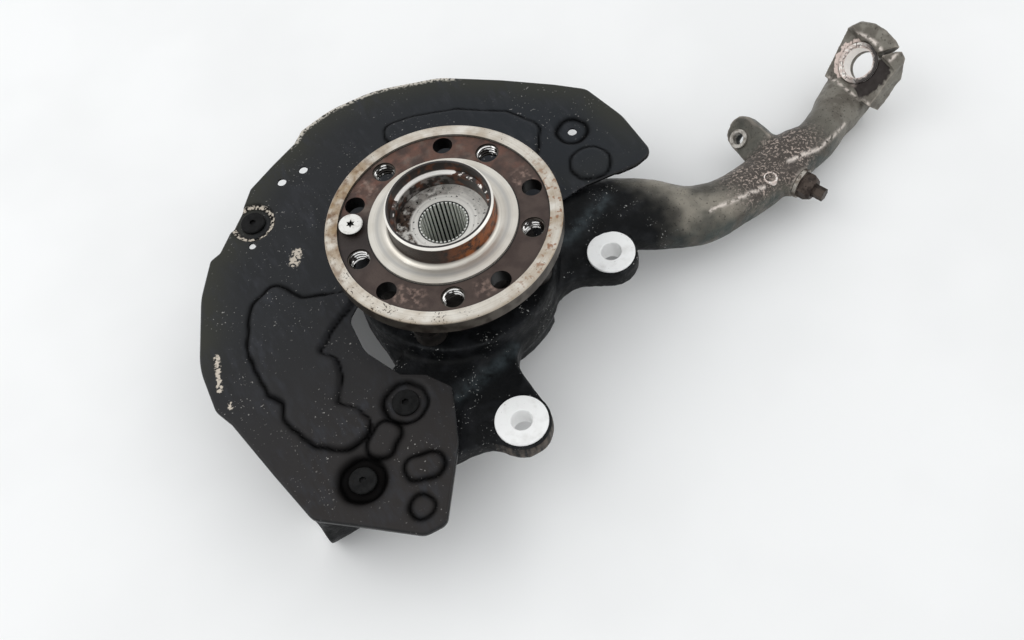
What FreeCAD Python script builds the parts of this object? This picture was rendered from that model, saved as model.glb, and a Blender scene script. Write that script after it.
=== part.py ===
"""Front steering knuckle with its wheel hub, bearing unit and splash shield.

The origin lies on the wheel axis in the plane of the hub's mounting face. Z points out of
the car along the wheel axis and X runs along the knuckle's neck to its upper eye. In
millimetres.
"""
import FreeCAD, Part

import math
import operator
import os

import Sketcher

SIZES = {
    # Wheel hub: flange, holes and centring spigot
    "flange_radius": 73.4,
    "flange_thickness": 12.0,
    "flange_bevel": 0.9,
    "rim_land_width": 7.9,
    "inner_land_radius": 46.3,
    "face_recess": 1.5,
    "journal_flare": 3.0,
    "journal_flare_depth": 2.0,
    "wheel_bolt_circle": 112.0,
    "wheel_bolt_count": 5.0,
    "wheel_bolt_angle": 31.33,
    "wheel_thread_radius": 6.5,
    "wheel_thread_mouth": 0.9,
    "access_hole_circle": 116.0,
    "access_hole_angle": 61.55,
    "access_hole_radius": 6.3,
    "spigot_radius": 33.25,
    "spigot_height": 16.0,
    "spigot_bevel": 1.2,
    "spigot_root_fillet": 4.0,
    "spigot_mouth_radius": 30.7,
    "spigot_step_level": 7.0,
    "spigot_step_cone": 1.0,
    "spigot_bore_radius": 28.8,
    "seat_level": -3.5,
    # Spindle and spline of the hub
    "spline_minor_radius": 14.3,
    "spline_major_radius": 15.6,
    "spline_teeth": 36.0,
    "spline_gap_mouth": 0.30,
    "spline_gap_root": 0.17,
    "spline_overrun": 0.5,
    "spline_mouth": 3.0,
    "journal_radius": 31.5,
    "journal_depth": 9.0,
    "shoulder_radius": 30.0,
    "spindle_radius": 24.0,
    "swage_radius": 27.5,
    "swage_height": 4.0,
    "swage_gap": 2.0,
    "swage_bevel": 1.0,
    # Double-row bearing unit
    "ball_pitch_radius": 33.5,
    "ball_radius": 6.0,
    "race_clearance": 0.3,
    "race_land": 2.0,
    "ball_count": 13.0,
    "cage_inner_radius": 31.2,
    "cage_outer_radius": 35.8,
    "cage_web_reach": 7.5,
    "cage_finger_reach": 2.5,
    "cage_clearance": 0.2,
    "outboard_row_level": -28.0,
    "inboard_row_level": -52.0,
    "ring_top_level": -15.0,
    "ring_length": 53.0,
    "ring_bore_radius": 37.0,
    "ring_body_radius": 44.0,
    "ring_flange_step": 9.0,
    "ring_flange_thickness": 12.0,
    "ring_lobe_radius": 10.5,
    "bearing_bolt_offset": 9.5,
    "bearing_bolt_angle": 45.0,
    "bearing_bolt_count": 4.0,
    "bearing_bolt_radius": 6.0,
    "bearing_bolt_grip": 38.0,
    "bearing_bolt_across": 18.0,
    "bearing_bolt_head_height": 9.0,
    "bearing_bolt_washer": 11.0,
    "seal_width": 5.0,
    "seal_recess": 1.5,
    "seal_lip": 1.7,
    "seal_lip_width": 1.2,
    "seal_web": 2.2,
    "seal_rim": 1.2,
    "bolt_end_bevel": 1.0,
    "bolt_washer_share": 0.22,
    "press_clearance": 0.02,
    "running_clearance": 0.3,
    # Retaining screw of the brake disc
    "disc_screw_circle": 113.0,
    "disc_screw_angle": 150.06,
    "disc_screw_head_radius": 7.5,
    "disc_screw_shank_radius": 4.0,
    "disc_screw_cone": 2.5,
    "disc_screw_rim": 1.6,
    "disc_screw_bevel": 0.45,
    "disc_screw_star_radius": 3.15,
    "disc_screw_star_root": 1.65,
    "disc_screw_star_depth": 2.2,
    "disc_screw_length": 9.0,
    # Knuckle: bearing housing, plates and caliper ears
    "housing_radius": 66.0,
    "housing_seat_level": -46.0,
    "housing_depth": 42.0,
    "plate_level": -62.0,
    "plate_thickness": 14.0,
    "plate_fillet": 20.0,
    "plate_collar": 1.0,
    "tongue_step_x": 3.0,
    "tongue_step_y": 8.0,
    "tongue_radius": 11.0,
    "upper_web_x": 40.0,
    "upper_web_y": -12.0,
    "lower_web_x": -24.0,
    "lower_web_y": -60.0,
    "lower_web_radius": 20.6,
    "lower_ear_radius": 18.6,
    "rear_web_x": -28.0,
    "rear_web_y": -98.0,
    "rear_web_end": 12.0,
    "side_web_x": -46.0,
    "side_web_top_y": -6.0,
    "side_web_foot_y": -60.0,
    "side_web_radius": 20.0,
    "screw_web_radius": 14.0,
    "cut_overrun": 20.0,
    "pad_root": 2.0,
    "bolt_spot_reach": 30.0,
    "bolt_spot_clearance": 1.5,
    "bolt_way_clearance": 0.5,
    "bolt_end_gap": 2.0,
    "ear_radius": 17.6,
    "ear_pad_rise": 2.0,
    "upper_ear_x": 90.0,
    "upper_ear_y": -43.4,
    "upper_pad_radius": 15.6,
    "lower_ear_x": -20.0,
    "lower_ear_y": -114.3,
    "lower_pad_radius": 16.5,
    "caliper_hole_radius": 6.6,
    # Knuckle: lower eyes that take the control arms
    "floor_level": -115.0,
    "arm_level": -58.0,
    "arm_thickness": 26.0,
    "arm_width": 34.0,
    "eye_radius": 18.5,
    "eye_length": 28.0,
    "eye_bore_radius": 9.0,
    "rear_root_x": -34.0,
    "rear_root_y": -50.0,
    "rear_eye_x": -141.0,
    "rear_eye_y": -84.0,
    "front_root_x": -22.0,
    "front_root_y": 32.0,
    "front_eye_x": -92.0,
    "front_eye_y": 78.0,
    # Knuckle: upper eye at the neck's end
    "top_eye_x": 325.0,
    "top_eye_y": -1.0,
    "top_eye_z": -75.0,
    "top_eye_tilt": 41.5,
    "top_eye_depth": 16.0,
    "top_eye_wall_x": 342.5,
    "top_eye_cap_rise": 9.0,
    "top_eye_cap_slope": 11.0,
    "top_eye_face_radius": 15.5,
    "top_eye_bore_radius": 10.8,
    "top_eye_slot_angle": -38.0,
    "top_eye_slot_width": 2.6,
    "top_eye_reach": 60.0,
    # Knuckle: cable lug, cast boss and cross bolt on the neck
    "neck_boss_x": 214.3,
    "neck_boss_y": -47.3,
    "neck_boss_top": -73.4,
    "neck_boss_radius": 4.6,
    "neck_boss_height": 10.0,
    "lug_x": 224.0,
    "lug_y": 1.0,
    "lug_z": -88.0,
    "lug_thickness": 12.0,
    "lug_hole_radius": 4.1,
    "lug_collar_radius": 6.8,
    "lug_collar_rise": 0.8,
    "cross_x": 229.0,
    "cross_y": -34.0,
    "cross_z": -90.0,
    "cross_angle": -70.0,
    "cross_seat": 20.0,
    "cross_hole_depth": 26.0,
    "cross_hole_spare": 2.0,
    "cross_boss_radius": 11.5,
    "cross_bolt_radius": 5.0,
    "cross_hex_across": 16.0,
    "cross_nut_height": 9.0,
    "cross_washer_radius": 10.5,
    "cross_washer_thickness": 2.5,
    "cross_tip_across": 8.0,
    "cross_tip_length": 7.0,
    # Splash shield
    "shield_level": -50.0,
    "shield_sheet": 1.5,
    "shield_lip": 3.0,
    "shield_lip_end_radius": 125.0,
    "shield_bore_clearance": 2.0,
    "dish_depth": 2.5,
    "dish_radius": 15.0,
    "emboss_height": 2.5,
    "shield_screw_radius": 3.0,
    "shield_screw_clearance": 0.4,
    "shield_screw_head": 8.5,
    "shield_screw_head_height": 2.2,
    "shield_screw_bevel": 0.6,
    "shield_screw_socket": 4.0,
    "shield_screw_socket_depth": 1.6,
    "shield_screw_length": 16.0,
    "pad_radius": 9.0,
    "rear_screw_x": -119.0,
    "rear_screw_y": -100.0,
    "mid_screw_x": -74.0,
    "mid_screw_y": -69.0,
    "front_screw_x": -98.0,
    "front_screw_y": 110.0,
}

# Neck of the knuckle from the housing to the upper eye: centre x, y, z, width and height
NECK_STATIONS = (
    (52.0, -6.0, -70.5, 58.0, 35.0),
    (96.0, -7.0, -71.0, 54.0, 35.0),
    (128.0, -22.0, -74.5, 50.0, 35.0),
    (156.0, -39.0, -80.0, 42.0, 32.0),
    (190.0, -41.0, -86.0, 35.0, 30.0),
    (222.0, -36.0, -90.0, 35.0, 30.0),
    (245.0, -30.5, -92.0, 35.0, 31.0),
    (266.0, -28.5, -94.0, 29.0, 30.0),
    (285.0, -20.5, -96.0, 28.0, 30.0),
    (303.0, -11.5, -98.5, 33.0, 31.0),
    (320.0, -4.0, -99.5, 35.0, 31.0),
)

doc = FreeCAD.newDocument("SteeringKnuckle")
sheet = doc.addObject("Spreadsheet::Sheet", "Sizes")


class Size:
    """A size of the sheet, or what is worked out from some, as a number and as an expression."""

    def __init__(self, value, text):
        self.value = value
        self.text = text

    def __add__(self, other):
        return combine(self, "+", other)

    def __radd__(self, other):
        return combine(other, "+", self)

    def __sub__(self, other):
        return combine(self, "-", other)

    def __rsub__(self, other):
        return combine(other, "-", self)

    def __mul__(self, other):
        return combine(self, "*", other)

    def __rmul__(self, other):
        return combine(other, "*", self)

    def __truediv__(self, other):
        return combine(self, "/", other)

    def __rtruediv__(self, other):
        return combine(other, "/", self)

    def __neg__(self):
        return combine(0.0, "-", self)


OPERATIONS = {
    "+": operator.add,
    "-": operator.sub,
    "*": operator.mul,
    "/": operator.truediv,
}


def as_size(number):
    return number if isinstance(number, Size) else Size(float(number), repr(float(number)))


def combine(left, sign, right):
    left = as_size(left)
    right = as_size(right)
    value = OPERATIONS[sign](left.value, right.value)
    return Size(value, "(%s %s %s)" % (left.text, sign, right.text))


def cosine(angle):
    angle = as_size(angle)
    return Size(math.cos(math.radians(angle.value)), "cos(%s)" % angle.text)


def sine(angle):
    angle = as_size(angle)
    return Size(math.sin(math.radians(angle.value)), "sin(%s)" % angle.text)


def fill_sheet():
    """Write each size and each neck station into the sheet under its alias."""
    table = dict(SIZES)
    for number, station in enumerate(NECK_STATIONS, 1):
        for word, value in zip(("x", "y", "z", "width", "height"), station):
            table["neck_%s_at_%d" % (word, number)] = value
    for row, (alias, value) in enumerate(table.items(), 1):
        sheet.set("A%d" % row, alias)
        sheet.set("B%d" % row, repr(value))
        sheet.setAlias("B%d" % row, alias)
    doc.recompute()
    return {alias: Size(float(sheet.get(alias)), "Sizes." + alias) for alias in table}


S = fill_sheet()


def bind(target, path, size):
    """Tie a property to the sheet."""
    target.setExpression(path, as_size(size).text)


def polar(radius, angle):
    return radius * cosine(angle), radius * sine(angle)


# Sketches and features of the bodies


def new_body(label):
    body = doc.addObject("PartDesign::Body", label)
    body.Label = label
    return body


def new_sketch(body, name, role="XY_Plane", level=None):
    """A sketch on one of the body's origin planes, shifted along the plane's normal."""
    planes = [plane for plane in body.Origin.OriginFeatures if plane.Role == role]
    sketch = body.newObject("Sketcher::SketchObject", name)
    sketch.AttachmentSupport = [(planes[0], "")]
    sketch.MapMode = "FlatFace"
    if level is not None:
        bind(sketch, "AttachmentOffset.Base.z", level)
    return sketch


def pin(sketch, curve, point, x, y):
    """Hold one point of a sketch curve at two sizes measured from the sketch's origin."""
    for direction, size in (("DistanceX", as_size(x)), ("DistanceY", as_size(y))):
        rule = Sketcher.Constraint(direction, -1, 1, curve, point, size.value)
        bind(sketch, "Constraints[%d]" % sketch.addConstraint(rule), size)


def draw_polygon(sketch, corners):
    """A closed run of lines through the corners."""
    spots = [FreeCAD.Vector(as_size(x).value, as_size(y).value, 0) for x, y in corners]
    first = sketch.GeometryCount
    count = len(corners)
    for here in range(count):
        sketch.addGeometry(Part.LineSegment(spots[here], spots[(here + 1) % count]))
    for here in range(count):
        following = first + (here + 1) % count
        sketch.addConstraint(Sketcher.Constraint("Coincident", first + here, 2, following, 1))
    for here, (x, y) in enumerate(corners):
        pin(sketch, first + here, 1, x, y)


def draw_circle(sketch, x, y, radius):
    """A circle with its centre pinned and its radius tied."""
    x, y, radius = as_size(x), as_size(y), as_size(radius)
    centre = FreeCAD.Vector(x.value, y.value, 0)
    curve = sketch.addGeometry(Part.Circle(centre, FreeCAD.Vector(0, 0, 1), radius.value))
    pin(sketch, curve, 3, x, y)
    rule = sketch.addConstraint(Sketcher.Constraint("Radius", curve, radius.value))
    bind(sketch, "Constraints[%d]" % rule, radius)


def draw_hexagon(sketch, across):
    """A hexagon about the origin, given across its flats."""
    corner = across / 2 / cosine(30)
    draw_polygon(sketch, [polar(corner, 60 * step) for step in range(6)])


def turn(body, name, profile, cut=False):
    """Revolve a half profile of radius and level about the body's Z axis."""
    sketch = new_sketch(body, name + "Profile", "XZ_Plane")
    profile(sketch)
    kind = "PartDesign::Groove" if cut else "PartDesign::Revolution"
    feature = body.newObject(kind, name)
    feature.Profile = sketch
    feature.ReferenceAxis = (sketch, ["V_Axis"])
    feature.Angle = 360.0
    body.Tip = feature
    return feature


def pad(body, name, sketch, length, down=False):
    feature = body.newObject("PartDesign::Pad", name)
    feature.Profile = sketch
    feature.Reversed = down
    bind(feature, "Length", length)
    body.Tip = feature
    return feature


def pocket(body, name, sketch, depth=None):
    """Cut down from the sketch, through everything where no depth is given."""
    feature = body.newObject("PartDesign::Pocket", name)
    feature.Profile = sketch
    if depth is None:
        feature.Type = "ThroughAll"
    else:
        bind(feature, "Length", depth)
    body.Tip = feature
    return feature


def repeat(body, name, feature, sketch, count):
    """Repeat a feature round the Z axis."""
    pattern = body.newObject("PartDesign::PolarPattern", name)
    pattern.Originals = [feature]
    pattern.Axis = (sketch, ["N_Axis"])
    pattern.Angle = 360.0
    bind(pattern, "Occurrences", count)
    body.Tip = pattern
    return pattern


def edges_of(feature, radius, level):
    """Names of a shape's full circles of one radius at one level."""
    found = []
    for number, edge in enumerate(feature.Shape.Edges, 1):
        if not isinstance(edge.Curve, Part.Circle):
            continue
        right_radius = abs(edge.Curve.Radius - radius) < 1e-4
        if right_radius and abs(edge.Curve.Center.z - level) < 1e-4:
            found.append("Edge%d" % number)
    return found


def build_wheel_hub():
    """Forged hub: flange, centring spigot, spindle with its own outboard race, and spline."""
    body = new_body("wheel_hub")
    under = -S["flange_thickness"]
    race_end = S["outboard_row_level"] - S["ball_radius"] - S["race_land"]
    ring_end = S["ring_top_level"] - S["ring_length"] - S["swage_gap"]
    bevel = S["flange_bevel"]
    journal_top = under - S["journal_flare_depth"]
    rim_land = S["flange_radius"] - S["rim_land_width"]

    def profile(sketch):
        draw_polygon(sketch, [
            (S["spline_minor_radius"], S["seat_level"]),
            (S["spigot_bore_radius"], S["seat_level"]),
            (S["spigot_bore_radius"], S["spigot_step_level"]),
            (S["spigot_mouth_radius"], S["spigot_step_level"] + S["spigot_step_cone"]),
            (S["spigot_mouth_radius"], S["spigot_height"]),
            (S["spigot_radius"] - S["spigot_bevel"], S["spigot_height"]),
            (S["spigot_radius"], S["spigot_height"] - S["spigot_bevel"]),
            (S["spigot_radius"], as_size(0)),
            (S["inner_land_radius"], as_size(0)),
            (S["inner_land_radius"], -S["face_recess"]),
            (rim_land, -S["face_recess"]),
            (rim_land, as_size(0)),
            (S["flange_radius"] - bevel, as_size(0)),
            (S["flange_radius"], -bevel),
            (S["flange_radius"], under + bevel),
            (S["flange_radius"] - bevel, under),
            (S["inner_land_radius"], under),
            (S["journal_radius"] + S["journal_flare"], journal_top),
            (S["journal_radius"], journal_top),
            (S["journal_radius"], under - S["journal_depth"]),
            (S["shoulder_radius"], under - S["journal_depth"]),
            (S["shoulder_radius"], race_end),
            (S["spindle_radius"], race_end),
            (S["spindle_radius"], ring_end),
            (S["swage_radius"], ring_end),
            (S["swage_radius"] - S["swage_bevel"], ring_end - S["swage_height"]),
            (S["spline_minor_radius"] + S["spline_mouth"], ring_end - S["swage_height"]),
            (S["spline_minor_radius"], ring_end - S["swage_bevel"]),
        ])

    forging = turn(body, "HubForging", profile)
    doc.recompute()
    fillet = body.newObject("PartDesign::Fillet", "SpigotRoot")
    fillet.Base = (forging, edges_of(forging, S["spigot_radius"].value, 0.0))
    bind(fillet, "Radius", S["spigot_root_fillet"])
    body.Tip = fillet

    turn(body, "OutboardRace", lambda sketch: draw_circle(
        sketch, S["ball_pitch_radius"], S["outboard_row_level"],
        S["ball_radius"] + S["race_clearance"]), cut=True)

    for name, circle, angle, radius in (
            ("WheelThread", "wheel_bolt_circle", "wheel_bolt_angle", "wheel_thread_radius"),
            ("AccessHole", "access_hole_circle", "access_hole_angle", "access_hole_radius")):
        sketch = new_sketch(body, name + "Sketch", level=S["spigot_height"])
        x, y = polar(S[circle] / 2, S[angle])
        draw_circle(sketch, x, y, S[radius])
        hole = pocket(body, name, sketch)
        repeat(body, name + "s", hole, sketch, S["wheel_bolt_count"])

    sketch = new_sketch(body, "MouthSketch", level=-S["face_recess"])
    x, y = polar(S["wheel_bolt_circle"] / 2, S["wheel_bolt_angle"])
    draw_circle(sketch, x, y, S["wheel_thread_radius"] + S["wheel_thread_mouth"])
    mouth = pocket(body, "ThreadMouth", sketch, S["wheel_thread_mouth"])
    repeat(body, "ThreadMouths", mouth, sketch, S["wheel_bolt_count"])

    sketch = new_sketch(body, "ScrewHoleSketch", level=S["spigot_height"])
    x, y = polar(S["disc_screw_circle"] / 2, S["disc_screw_angle"])
    draw_circle(sketch, x, y, S["disc_screw_shank_radius"] + S["press_clearance"])
    pocket(body, "ScrewHole", sketch)

    sketch = new_sketch(body, "SplineSketch", level=S["seat_level"] + S["spline_overrun"])
    tooth_angle = 360.0 / S["spline_teeth"]
    inside = S["spline_minor_radius"] - S["spline_overrun"]
    draw_polygon(sketch, [
        polar(inside, -tooth_angle * S["spline_gap_mouth"]),
        polar(inside, tooth_angle * S["spline_gap_mouth"]),
        polar(S["spline_major_radius"], tooth_angle * S["spline_gap_root"]),
        polar(S["spline_major_radius"], -tooth_angle * S["spline_gap_root"]),
    ])
    gap = pocket(body, "SplineGap", sketch)
    repeat(body, "SplineGaps", gap, sketch, S["spline_teeth"])
    return body


def build_disc_screw():
    """Countersunk retaining screw of the brake disc, left proud now that the disc is off."""
    body = new_body("disc_screw")
    foot = -S["face_recess"]
    head_base = foot + S["disc_screw_cone"]

    def profile(sketch):
        draw_polygon(sketch, [
            (as_size(0), foot - S["disc_screw_length"]),
            (S["disc_screw_shank_radius"], foot - S["disc_screw_length"]),
            (S["disc_screw_shank_radius"], foot),
            (S["disc_screw_head_radius"], head_base),
            (S["disc_screw_head_radius"], head_base + S["disc_screw_rim"] - S["disc_screw_bevel"]),
            (S["disc_screw_head_radius"] - S["disc_screw_bevel"], head_base + S["disc_screw_rim"]),
            (as_size(0), head_base + S["disc_screw_rim"]),
        ])

    turn(body, "Screw", profile)
    sketch = new_sketch(body, "DriveSketch", level=head_base + S["disc_screw_rim"])
    tip = S["disc_screw_star_radius"]
    root = S["disc_screw_star_root"]
    draw_polygon(sketch, [polar(root if step % 2 else tip, 30 * step) for step in range(12)])
    pocket(body, "Drive", sketch, S["disc_screw_star_depth"])
    x, y = polar(S["disc_screw_circle"] / 2, S["disc_screw_angle"])
    bind(body, "Placement.Base.x", x)
    bind(body, "Placement.Base.y", y)
    return body


def bolt_distance():
    """Distance of the bearing bolts from the wheel axis, clear of the ring's own body."""
    return S["ring_body_radius"] + S["bearing_bolt_offset"]


def build_bearing_outer_ring():
    """Outer ring with both races and the flange that bolts to the knuckle."""
    body = new_body("bearing_outer_ring")
    top = S["ring_top_level"]
    end = top - S["ring_length"]
    seat = S["housing_seat_level"]
    flange_top = seat + S["ring_flange_thickness"]
    seal_seat = S["ring_bore_radius"] + S["seal_recess"]
    flange_radius = S["ring_body_radius"] + S["ring_flange_step"]

    def profile(sketch):
        draw_polygon(sketch, [
            (seal_seat, top),
            (S["ring_body_radius"], top),
            (S["ring_body_radius"], flange_top),
            (flange_radius, flange_top),
            (flange_radius, seat),
            (S["ring_body_radius"], seat),
            (S["ring_body_radius"], end),
            (seal_seat, end),
            (seal_seat, end + S["seal_width"]),
            (S["ring_bore_radius"], end + S["seal_width"]),
            (S["ring_bore_radius"], top - S["seal_width"]),
            (seal_seat, top - S["seal_width"]),
        ])

    turn(body, "RingForging", profile)
    for name, level in (("Outboard", "outboard_row_level"), ("Inboard", "inboard_row_level")):
        turn(body, name + "Race", lambda sketch: draw_circle(
            sketch, S["ball_pitch_radius"], S[level],
            S["ball_radius"] + S["race_clearance"]), cut=True)

    x, y = polar(bolt_distance(), S["bearing_bolt_angle"])
    sketch = new_sketch(body, "LobeSketch", level=seat)
    draw_circle(sketch, x, y, S["ring_lobe_radius"])
    lobe = pad(body, "Lobe", sketch, S["ring_flange_thickness"])
    repeat(body, "Lobes", lobe, sketch, S["bearing_bolt_count"])
    sketch = new_sketch(body, "BoltHoleSketch", level=flange_top)
    draw_circle(sketch, x, y, S["bearing_bolt_radius"] + S["press_clearance"])
    hole = pocket(body, "BoltHole", sketch, S["ring_flange_thickness"])
    repeat(body, "BoltHoles", hole, sketch, S["bearing_bolt_count"])
    return body


def build_bearing_inner_ring():
    """Inboard inner ring, pressed on the spindle and held by the rolled-over lip."""
    body = new_body("bearing_inner_ring")
    top = S["outboard_row_level"] - S["ball_radius"] - S["race_land"]
    end = S["ring_top_level"] - S["ring_length"] - S["swage_gap"]
    bore = S["spindle_radius"] + S["press_clearance"]
    gap = S["press_clearance"]

    def profile(sketch):
        draw_polygon(sketch, [
            (bore, top - gap),
            (S["shoulder_radius"], top - gap),
            (S["shoulder_radius"], end + gap),
            (bore, end + gap),
        ])

    turn(body, "InnerRing", profile)
    turn(body, "InnerRace", lambda sketch: draw_circle(
        sketch, S["ball_pitch_radius"], S["inboard_row_level"],
        S["ball_radius"] + S["race_clearance"]), cut=True)
    return body


def ball_places(label, row, radius):
    """Spheres of a radius at the places of one row's balls."""
    spheres = []
    for index in range(int(number("ball_count"))):
        sphere = doc.addObject("Part::Sphere", "%s_%02d" % (label, index + 1))
        bind(sphere, "Radius", radius)
        x, y = polar(S["ball_pitch_radius"], 360.0 / S["ball_count"] * index)
        for letter, size in zip("xyz", (x, y, S[row + "_row_level"])):
            bind(sphere, "Placement.Base." + letter, size)
        spheres.append(sphere)
    return spheres


def build_balls(row):
    """Balls of one row, as separate solids of one node."""
    balls = doc.addObject("Part::Compound", row + "_balls")
    balls.Links = ball_places(row + "_ball", row, S["ball_radius"])
    return balls


def build_cage(row, opens_up):
    """Crown cage: a web on one side of the balls and fingers that reach past their middles."""
    web = S["cage_web_reach"]
    finger = S["cage_finger_reach"]
    foot = S[row + "_row_level"] - (web if opens_up else finger)
    overrun = S["cut_overrun"]
    ring = cylinder(row + "_cage_ring", S["cage_outer_radius"], web + finger, (0, 0, foot))
    hollow = cylinder(row + "_cage_hollow", S["cage_inner_radius"], web + finger + 2 * overrun,
                      (0, 0, foot - overrun))
    pocket_radius = S["ball_radius"] + S["cage_clearance"]
    pockets = ball_places(row + "_pocket", row, pocket_radius)
    cage = doc.addObject("Part::Cut", row + "_cage")
    cage.Base = ring
    cage.Tool = fused(row + "_cage_tools", [hollow] + pockets)
    return cage


def build_seal(label, level, inner_radius):
    """Lip seal pressed into the outer ring, with its lip just clear of what turns inside."""
    body = new_body(label)
    outer = S["ring_bore_radius"] + S["seal_recess"] - S["press_clearance"]
    inner = inner_radius + S["running_clearance"]
    case = S["seal_width"] - 2 * S["press_clearance"]

    def profile(sketch):
        draw_polygon(sketch, [
            (outer, as_size(0)),
            (inner + S["seal_lip"], as_size(0)),
            (inner, -S["seal_lip"]),
            (inner, -S["seal_lip"] - S["seal_lip_width"]),
            (inner + S["seal_lip"], -S["seal_web"]),
            (outer - S["seal_rim"], -S["seal_web"]),
            (outer - S["seal_rim"], -case),
            (outer, -case),
        ])

    turn(body, "SealRing", profile)
    bind(body, "Placement.Base.z", level - S["press_clearance"])
    return body


def build_bearing_bolt(label):
    """Bolt with a washer-faced hexagon head under it; its seat is at level zero of its own body."""
    body = new_body(label)
    radius = S["bearing_bolt_radius"]
    grip = S["bearing_bolt_grip"]
    head_height = S["bearing_bolt_head_height"]
    washer = head_height * S["bolt_washer_share"]

    def profile(sketch):
        draw_polygon(sketch, [
            (as_size(0), -washer),
            (S["bearing_bolt_washer"], -washer),
            (S["bearing_bolt_washer"], as_size(0)),
            (radius, as_size(0)),
            (radius, grip - S["bolt_end_bevel"]),
            (radius - S["bolt_end_bevel"], grip),
            (as_size(0), grip),
        ])

    turn(body, "Shank", profile)
    sketch = new_sketch(body, "HexSketch")
    draw_hexagon(sketch, S["bearing_bolt_across"])
    pad(body, "Hex", sketch, head_height, down=True)
    return body


def build_shield_screw(label):
    """Screw with a low round head and a hexagon socket; its seat is at level zero of its body."""
    body = new_body(label)
    radius = S["shield_screw_radius"]
    length = S["shield_screw_length"]
    head = S["shield_screw_head"]
    top = S["shield_screw_head_height"]
    bevel = S["shield_screw_bevel"]

    def profile(sketch):
        draw_polygon(sketch, [
            (as_size(0), -length),
            (radius - bevel, -length),
            (radius, bevel - length),
            (radius, as_size(0)),
            (head, as_size(0)),
            (head, top - bevel),
            (head - bevel, top),
            (as_size(0), top),
        ])

    turn(body, "Shank", profile)
    sketch = new_sketch(body, "SocketSketch", level=top)
    draw_hexagon(sketch, S["shield_screw_socket"])
    pocket(body, "Socket", sketch, S["shield_screw_socket_depth"])
    return body


def place(body, x, y, z):
    for letter, size in (("x", x), ("y", y), ("z", z)):
        bind(body, "Placement.Base." + letter, size)


# Outlines and plain solids of the casting and the shield


def spot(x, y, z=0.0):
    return FreeCAD.Vector(x, y, z)


def belt(start, start_radius, end, end_radius):
    """Flat face round two circles and between their outer tangents."""
    first = spot(*start)
    last = spot(*end)
    way = last - first
    angle = math.atan2(way.y, way.x)
    lean = math.acos((start_radius - end_radius) / way.Length)
    corners = []
    for centre, radius in ((first, start_radius), (last, end_radius)):
        for side in (angle + lean, angle - lean):
            corners.append(centre + spot(math.cos(side), math.sin(side)) * radius)
    far_first = first - way.normalize() * start_radius
    far_last = last + way * end_radius
    edges = [
        Part.LineSegment(corners[0], corners[2]).toShape(),
        Part.Arc(corners[2], far_last, corners[3]).toShape(),
        Part.LineSegment(corners[3], corners[1]).toShape(),
        Part.Arc(corners[1], far_first, corners[0]).toShape(),
    ]
    return Part.Face(Part.Wire(edges))


def disc(x, y, radius):
    return Part.Face(Part.Wire(Part.makeCircle(radius, spot(x, y))))


def rounded(corners):
    """Closed face through corners of x, y and fillet radius, with an arc at each corner."""
    points = [spot(x, y) for x, y, radius in corners]
    count = len(points)
    starts = []
    ends = []
    middles = []
    for here, (x, y, radius) in enumerate(corners):
        to_last = (points[here - 1] - points[here]).normalize()
        to_next = (points[(here + 1) % count] - points[here]).normalize()
        half = to_last.getAngle(to_next) / 2
        reach = radius / math.tan(half)
        middle_way = (to_last + to_next).normalize()
        starts.append(points[here] + to_last * reach)
        ends.append(points[here] + to_next * reach)
        middles.append(points[here] + middle_way * (radius / math.sin(half) - radius))
    edges = []
    for here in range(count):
        edges.append(Part.Arc(starts[here], middles[here], ends[here]).toShape())
        following = starts[(here + 1) % count]
        if ends[here].distanceToPoint(following) > 1e-3:
            edges.append(Part.LineSegment(ends[here], following).toShape())
    return Part.Face(Part.Wire(edges))


def merged(faces):
    """One face for the union of several that overlap in the plane."""
    slabs = [raised(face, 0.0, 1.0) for face in faces]
    union = slabs[0].multiFuse(slabs[1:]).removeSplitter()
    lids = [face for face in union.Faces if abs(face.CenterOfMass.z - 1.0) < 1e-6]
    lid = max(lids, key=lambda face: face.Area)
    lid.translate(spot(0, 0, -1.0))
    return lid


def raised(face, bottom, top):
    """The face as a solid between two levels."""
    solid = face.copy()
    solid.translate(spot(0, 0, bottom))
    return solid.extrude(spot(0, 0, top - bottom))


def own_feature(name, shape):
    """An object of the document for a shape that no standard feature gives."""
    feature = doc.addObject("Part::Feature", name)
    feature.Shape = shape
    return feature


def number(name):
    return S[name].value


def cylinder(name, radius, height, base, turn_axis=None, turn_angle=0.0):
    """Part cylinder whose radius, height and base follow the sheet."""
    solid = doc.addObject("Part::Cylinder", name)
    bind(solid, "Radius", radius)
    bind(solid, "Height", height)
    for letter, size in zip("xyz", base):
        bind(solid, "Placement.Base." + letter, size)
    if turn_axis is not None:
        solid.Placement.Rotation = FreeCAD.Rotation(turn_axis, turn_angle)
    return solid


def fused(name, pieces):
    union = doc.addObject("Part::MultiFuse", name)
    union.Shapes = pieces
    return union


def section(centre, way, width, height):
    """Rounded closed section across the neck, wider at its flanks than an ellipse."""
    side = spot(0, 0, 1).cross(way).normalize()
    rise = way.cross(side).normalize()
    points = []
    for step in range(12):
        angle = 2 * math.pi * step / 12
        across = math.copysign(abs(math.cos(angle)) ** 0.8, math.cos(angle))
        upward = math.copysign(abs(math.sin(angle)) ** 0.8, math.sin(angle))
        points.append(centre + side * (across * width / 2) + rise * (upward * height / 2))
    curve = Part.BSplineCurve()
    curve.interpolate(points, PeriodicFlag=True)
    return Part.Wire(curve.toShape())


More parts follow.
